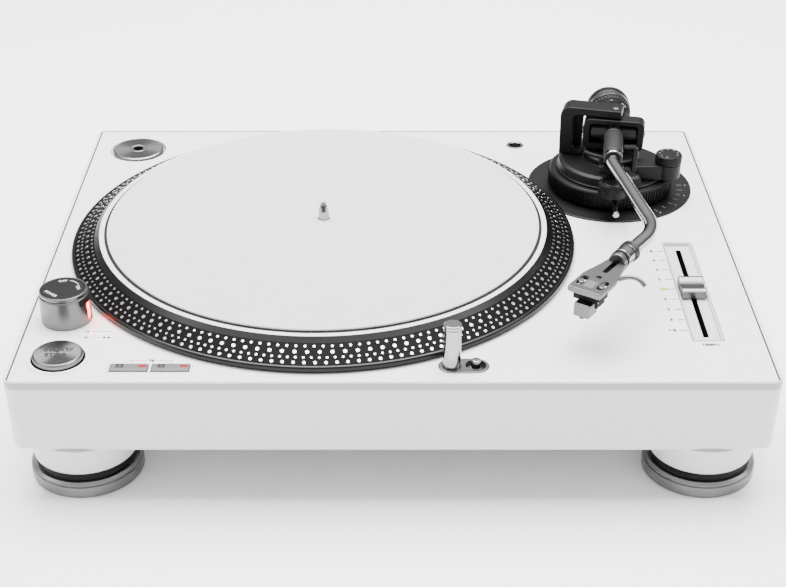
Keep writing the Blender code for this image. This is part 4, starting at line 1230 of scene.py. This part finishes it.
# %% [markdown]
# ## The arm
# The arm swings in a ring held by four tiny bearings. Its chrome tube makes an S, so that the
# headshell meets the groove at the right angle. The tube is swept along points read from two
# straight runs and a round bend, because a true bend keeps its section round.

# %% Bearing ring
GIMBAL = math.atan2(-TILT_WAY.y, TILT_WAY.x)
ring_place = PLACE @ Matrix.Rotation(-GIMBAL, 4, "Z") @ Matrix.Rotation(math.pi / 2, 4, "X")
frame_outline = [(x, y + 40.4) for x, y in rounded_box(42.0, 22.0, 5.0, 8)]
gimbal = slab("bearing_ring", frame_outline, -5.75, 5.75, black, ring_place, 0.8, 0.8)
opening = slab("drill", [(x, y + 41.0) for x, y in rounded_box(33.2, 14.6, 2.0)], -12.0, 12.0,
    black, ring_place, 0)
carve(gimbal, opening)
ring_parts = []
for sign in (-1, 1):
    cheek_line = [(sign * 12.3 + x, y + 41.0) for x, y in rounded_box(9.8, 15.6, 0.3)]
    ring_parts.append(slab("ring_cheek", cheek_line, -5.6, -4.7, deep_black, ring_place, 0.1))
    head = facing(PIVOT, TILT_WAY * sign)
    ring_parts.append(spun("bearing_screw", [(0, 21.9), (0.9, 21.9), (0.9, 21.5), (2.3, 21.5),
        (2.7, 21.2), (2.7, 20.6), (0, 20.6)], steel, head, 36, edge=0.15))
for height, sign in ((29.4, -1), (51.4, 1)):
    ring_parts.append(spun("pivot_post", [(0, height + 0.6 * sign), (2.2, height + 0.6 * sign),
        (2.2, height - sign), (0, height - sign)], steel, PLACE, 32, edge=0.1))
give(joined("bearing_ring_screwed", gimbal, *ring_parts), "gimbal", "black_plastic", "gimbal_ring")

# %% Arm holder and tube
HOLDER = math.radians(7.5)
holder_way = Vector((-math.sin(HOLDER), -math.cos(HOLDER), 0))
holder_place = facing(PIVOT, holder_way)
holder = spun("holder_barrel", [(0, 45.6), (4.6, 45.6), (5.3, 45.0), (5.3, 40.4), (5.0, 40.2),
    (5.0, 38.8), (5.5, 38.6), (5.5, 9.0), (5.2, 8.8), (5.2, 7.6), (5.5, 7.4), (5.5, -6.0),
    (0, -6.0)], holder_grey, holder_place, 64)
wide = Vector((-holder_way.y, holder_way.x, 0))
widen = Matrix.Translation(PIVOT * MM) @ Matrix.Scale(1.2, 4, wide)
holder.data.transform(widen @ Matrix.Translation(-PIVOT * MM))
holder_band = spun("holder_band", [(4.6, 44.9), (5.7, 44.9), (6.0, 44.3), (6.0, 41.2), (5.7, 40.6),
    (4.6, 40.6)], chrome, holder_place, 64, True, 0.15)
nose = spun("holder_nose", [(0, 46.0), (4.8, 46.0), (5.4, 45.7), (5.4, 45.0), (0, 45.0)],
    deep_black, holder_place, 48)
cross = spun("tilt_barrel", [(0, 15.9), (4.5, 15.9), (5.0, 15.4), (5.0, -15.4), (4.5, -15.9),
    (0, -15.9)], holder_grey, facing(PIVOT, TILT_WAY), 48)
rear_place = facing(PIVOT, REAR_WAY)
stub = spun("rear_shaft", [(0, 46.0), (2.6, 46.0), (3.2, 45.4), (3.2, -4.0), (0, -4.0)], steel,
    rear_place, 48)
give(joined("arm_holder_barrel", holder, holder_band, nose, cross, stub), "arm", "dark_metal",
    "arm_holder")


def bend_points(corner, before, after, radius, count):
    """Points that round a corner between two straight runs."""
    back, ahead = (before - corner).normalized(), (after - corner).normalized()
    half_angle = back.angle(ahead) / 2
    centre = corner + (back + ahead).normalized() * (radius / math.sin(half_angle))
    first = corner + back * (radius / math.tan(half_angle)) - centre
    turn = (math.pi - 2 * half_angle) * (1.0 if back.cross(ahead) < 0 else -1.0)
    return [centre + Matrix.Rotation(turn * i / count, 2) @ first for i in range(count + 1)]


TUBE_TURN = math.radians(8.9)
tube_start = PIVOT.xy + Vector((-6.9, -49.6))
tube_way = Vector((math.sin(TUBE_TURN), -math.cos(TUBE_TURN)))
back_way = -SHELL_WAY.xy.normalized()
gap = COLLAR.xy - tube_start
elbow = tube_start + tube_way * (gap.cross(back_way) / tube_way.cross(back_way))
entry = PIVOT.xy + holder_way.xy * 46.2
tube_end = COLLAR.xy - back_way * 7.0
flat_path = [entry] + bend_points(tube_start, entry, elbow, 7.0, 6)
flat_path += bend_points(elbow, tube_start, tube_end, 38.0, 32) + [tube_end]
tube = sweep("arm_tube_chrome", [(p.x, p.y, PIVOT.z) for p in flat_path], 4.2, chrome, 40)
give(tube, "arm", "chrome", "arm_tube")

# %% [markdown]
# ## Headshell and cartridge
# The headshell plugs into the tube and is locked by a knurled collar. It is a thin plate that
# widens forward, with slots for the two screws that hold the cartridge, and a curved finger
# lift at one side. All its pieces are set out along and across its own middle line.

# %% Headshell helpers and plate
RIGHT_WAY = Vector((-SHELL_WAY.y, SHELL_WAY.x, 0))
SHELL_TURN = math.atan2(-SHELL_WAY.x, -SHELL_WAY.y)


def on_shell(along, right=0.0, height=0.0):
    spot = COLLAR + SHELL_WAY * along + RIGHT_WAY * right
    return Vector((spot.x, spot.y, TOP + height))


def shell_bar(name, size, along, right, height, material, corner, rim):
    spot = on_shell(along, right)
    return bar(name, size, (spot.x, spot.y, height), material, corner, rim, -SHELL_TURN)


stations = [(9.6, 5.9), (13.0, 6.3), (17.0, 6.9), (21.0, 7.7), (26.0, 8.8), (31.0, 10.1),
    (35.0, 10.75), (53.0, 10.75), (54.0, 9.9)]
shell_line = [(half_width, -along) for along, half_width in stations]
shell_line += [(-half_width, -along) for along, half_width in reversed(stations)]
shell_place = upright((COLLAR.x, COLLAR.y, 40.0)) @ Matrix.Rotation(-SHELL_TURN, 4, "Z")
shell = slab("shell_plate", shell_line, -1.5, 1.5, silver, shell_place, 0.45, 0.3)


def slot_tool(width, length, along, right):
    spot = on_shell(along, right)
    return bar("drill", (width, length, 40.0), (spot.x, spot.y, 46.0), silver, width * 0.48, 0.0,
        -SHELL_TURN, 6)


hole_at = on_shell(35.2)
SCREW_SIDE = 6.6
carve(shell, slot_tool(3.4, 17.5, 19.8, 0.0), slot_tool(4.4, 11.0, 43.0, -SCREW_SIDE),
    slot_tool(4.4, 11.0, 43.0, SCREW_SIDE), drill(1.75, 50.0, 30.0, hole_at.xy, 24))
neck = spun("shell_neck", [(0, 13.0), (5.0, 13.0), (5.6, 12.4), (5.6, 7.4), (0, 7.4)], silver,
    facing(COLLAR, SHELL_WAY), 64)
washer = spun("shell_washer", [(3.7, 9.2), (6.0, 9.2), (6.0, 7.3), (3.7, 7.3)], deep_black,
    facing(COLLAR, SHELL_WAY), 64, True)
label_plate = shell_bar("shell_label", (6.2, 8.4, 0.2), 45.4, 0.0, 41.6, key_grey, 0.4, 0.05)
front_lip = shell_bar("shell_front_lip", (20.6, 1.2, 3.6), 53.3, 0.0, 39.9, silver, 0.4, 0.4)
shell_screws = []
for side in (-1, 1):
    spot = on_shell(44.0, side * SCREW_SIDE)
    screw = spun("shell_screw", [(0, 41.6), (1.3, 41.6), (1.85, 41.1), (1.85, 40.2), (1.1, 40.2),
        (1.1, 33.0), (0, 33.0)], steel, upright(spot.xy), 32, edge=0.2)
    nick = bar("drill", (0.6, 7.0, 0.8), (spot.x, spot.y, 41.6), deep_black, 0.1, 0, 0.6)
    carve(screw, nick)
    shell_screws.append(screw)
give(joined("headshell_plate", shell, neck, washer, label_plate, front_lip, *shell_screws), "arm",
    "silver_metal", "headshell")
collar = spun("collar_body", [(4.0, 7.0), (5.9, 7.0), (6.0, 6.6), (6.0, 0.6), (5.6, 0.2),
    (5.6, -0.8), (5.8, -1.2), (5.8, -6.2), (5.3, -6.8), (4.0, -6.8)], chrome,
    facing(COLLAR, SHELL_WAY), 64, True)
collar_teeth = knurl("collar_knurl", 34, 5.8, 4.6, facing(COLLAR - SHELL_WAY * 3.6, SHELL_WAY),
    silver, 0.75, 0.62)
black_band = spun("collar_band", [(5.4, 0.3), (5.9, 0.3), (5.9, -0.9), (5.4, -0.9)], deep_black,
    facing(COLLAR, SHELL_WAY), 64, True, 0.1)
give(joined("locking_collar", collar, collar_teeth, black_band), "arm_collar", "silver_metal",
    "arm_collar")
lift_spots = [(29.0, 10.0, 40.2), (28.4, 12.0, 41.4), (28.0, 13.8, 42.3), (27.4, 16.2, 43.0),
    (26.9, 18.6, 43.2), (26.6, 20.8, 42.8), (26.6, 22.8, 42.0), (26.8, 24.6, 40.8),
    (27.0, 25.8, 39.7)]
finger = sweep("finger_hook", [on_shell(*spot) for spot in lift_spots], 1.35, silver, 20)
give(finger, "arm", "silver_metal", "finger_lift")

# %% Cartridge
mount = shell_bar("cart_mount", (17.0, 12.0, 5.4), 44.4, 0.0, 35.3, deep_black, 0.8, 0.5)
cart_body = shell_bar("cart_body", (10.0, 10.8, 8.6), 49.6, 0.0, 28.4, silver, 0.5, 0.5)
cheek = shell_bar("cart_cheek", (1.8, 10.0, 7.0), 46.0, 7.0, 33.5, deep_black, 0.4, 0.4)
strip = shell_bar("cart_strip", (0.5, 8.0, 1.2), 46.5, 8.05, 34.0, chrome, 0.2, 0.2)
# painted shade: a dull black sheet under the headshell's middle slot
shade = shell_bar("shell_slot_painted_shade", (5.4, 22.0, 0.4), 20.5, 0.0, 38.2, deep_black, 0.4, 0.1)
give(joined("cartridge_on_mount", mount, cart_body, cheek, strip, shade), "arm", "silver_metal",
    "cartridge")
needle = spun("needle_tip", [(0, 23.7), (1.6, 23.7), (1.6, 23.2), (0.35, 22.4), (0, 22.4)],
    deep_black, upright(on_shell(53.2).xy), 32, edge=0.1)
give(needle, "arm", "black_plastic", "stylus")

# %% [markdown]
# ## Counterweight
# Behind the pivot a steel weight screws along its shaft to balance the arm. A black dial on its
# front face is turned by itself and shows the tracking force. Both are turned, the weight has
# a knurled grip, and the dial's numbers are set round its cone.

# %% Weight, dial and sleeve
sleeve = spun("weight_bush", [(3.6, 43.5), (4.8, 43.5), (4.8, 23.0), (3.6, 23.0)], steel,
    rear_place, 40, True)
give(sleeve, "weight_sleeve", "steel", "weight_sleeve")
dial = spun("force_dial", [(5.1, 31.0), (14.4, 31.0), (14.4, 27.6), (10.0, 23.5), (5.1, 23.5)],
    black, rear_place, 96, True, 0.3)
DIAL_ZERO = math.atan2(*((rear_place.inverted().to_3x3() @ Vector((0, 0, 1))).yx))
dial_back = rear_place @ Matrix.Translation((0, 0, 29.3 * MM))
stroke = bar("dial_marks", (0.06, 0.4, 2.2), (0, 0, -TOP), white_ink, 0.02, 0)
dial_marks = repeat(stroke, ROUND, dial_back, faint_ink, Count=40, Radius=0.01442, Start=0.0,
    Step=2 * math.pi / 40)
dial_words = []
cone = math.atan2(27.6 - 23.5, 14.4 - 10.0)
for i in range(8):
    round_axis = rear_place @ Matrix.Rotation(2 * math.pi * i / 8 + DIAL_ZERO, 4, "Z")
    on_cone = round_axis @ Matrix.Translation((12.2 * MM, 0, 25.4 * MM))
    upright_word = Matrix.Rotation(math.pi + cone, 4, "Y") @ Matrix.Rotation(math.pi / 2, 4, "Z")
    dial_words.append(lettering("dial_number", [(str(i / 2).replace(".0", ""), 3.2, 0, 0)],
        white_ink, on_cone @ upright_word, 0.2))
give(joined("force_dial_marked", dial, dial_marks, *dial_words), "weight_dial", "black_plastic",
    "weight_dial")
weight = spun("weight_body", [(5.1, 45.0), (13.8, 45.0), (15.1, 44.2), (15.1, 38.6), (14.6, 38.3),
    (14.6, 37.4), (15.1, 37.0), (15.1, 31.9), (14.7, 31.3), (5.1, 31.3)], dark_steel, rear_place,
    128, True)
grip = knurl("weight_knurl", 72, 15.05, 5.0, rear_place @ Matrix.Translation((0, 0, 41.4 * MM)),
    dark_steel, 0.5, 0.7)
shine = spun("weight_band", [(14.9, 36.6), (15.25, 36.6), (15.25, 32.6), (14.9, 32.6)], silver,
    rear_place, 128, True, 0.1)
give(joined("counterweight_knurled", weight, grip, shine), "counterweight", "dark_metal",
    "counterweight")

# %% [markdown]
# ## Rear terminals and the works inside
# The back has a recess with the signal jacks, an earth screw and the power inlet. The motor,
# bearing, supply and circuit board are hidden when the deck is whole, so they keep their
# working solids and get proper finishes.

# %% Rear pieces
JACKS, INLET = middle("phono_jacks"), middle("power_inlet")
OUT = Vector((0, 1, 0))
face_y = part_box("phono_jacks")[0].y / MM
jack_parts = [bar("jack_plate", (34.0, 2.0, 16.0), (JACKS.x, face_y + 1.0, JACKS.z - TOP), silver,
    0.3, 0.3)]
for offset, colour in ((-8.0, red_dash), (8.0, white_ink)):
    spot = Vector((JACKS.x + offset, face_y, JACKS.z))
    jack_parts.append(spun("jack_shell", [(3.4, 10.0), (4.0, 10.0), (4.2, 9.7), (4.2, 0.5),
        (3.4, 0.5)], gold, facing(spot, OUT), 40, True, 0.1))
    jack_parts.append(spun("jack_core", [(0, 6.0), (3.4, 6.0), (3.4, 0.5), (0, 0.5)], colour,
        facing(spot, OUT), 40))
give(joined("signal_jacks", *jack_parts), "deck", "silver_metal", "phono_jacks")
GROUND = middle("ground_terminal")
ground_at = Vector((GROUND.x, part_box("ground_terminal")[0].y / MM, GROUND.z))
nut = spun("earth_nut", [(0, 9.0), (3.2, 9.0), (3.7, 8.6), (3.7, 3.4), (2.0, 3.0), (2.0, 0.0),
    (0, 0.0)], chrome, facing(ground_at, OUT), 40)
nut_teeth = knurl("earth_knurl", 24, 3.65, 4.6, facing(ground_at + OUT * 6.0, OUT), chrome, 0.3)
give(joined("earth_screw", nut, nut_teeth), "deck", "chrome", "ground_terminal")
inlet_pins = [bar("inlet_pin", (1.6, 8.0, 4.0), (INLET.x + x, INLET.y - 1.0, INLET.z - TOP + z),
    steel, 0.3, 0.3) for x, z in ((-7.0, -2.0), (7.0, -2.0), (0.0, 2.6))]
give(joined("inlet_pins", *inlet_pins), "deck", "steel")
for node, look in (("rear_panel", black), ("power_inlet", deep_black), ("motor_stator", copper),
        ("bearing_housing", steel), ("power_supply", steel), ("main_board", board_green),
        ("rotor_magnet", steel)):
    recoat(node, look)

# %% [markdown]
# ## Underside
# The pressed base cover is held by a row of screws along each long edge. One screw is made and
# repeated along the line.

# %% Base screws
COVER_LOW, COVER_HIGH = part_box("base_cover")
screw_rows = []
for y in (COVER_LOW.y / MM + 8.0, COVER_HIGH.y / MM - 8.0):
    head = spun("base_screw", [(0, 0.2), (2.6, 0.2), (3.1, -0.4), (2.2, -1.2), (0, -1.4)], steel,
        Matrix.Identity(4), 20, edge=0.2)
    start = Matrix.Translation(Vector((-120.0, y, COVER_LOW.z / MM)) * MM)
    screw_rows.append(repeat(head, LINE, start, steel, Count=5, Pitch=(0.060, 0.0, 0.0)))
give(joined("base_screws", *screw_rows), "deck", "steel")
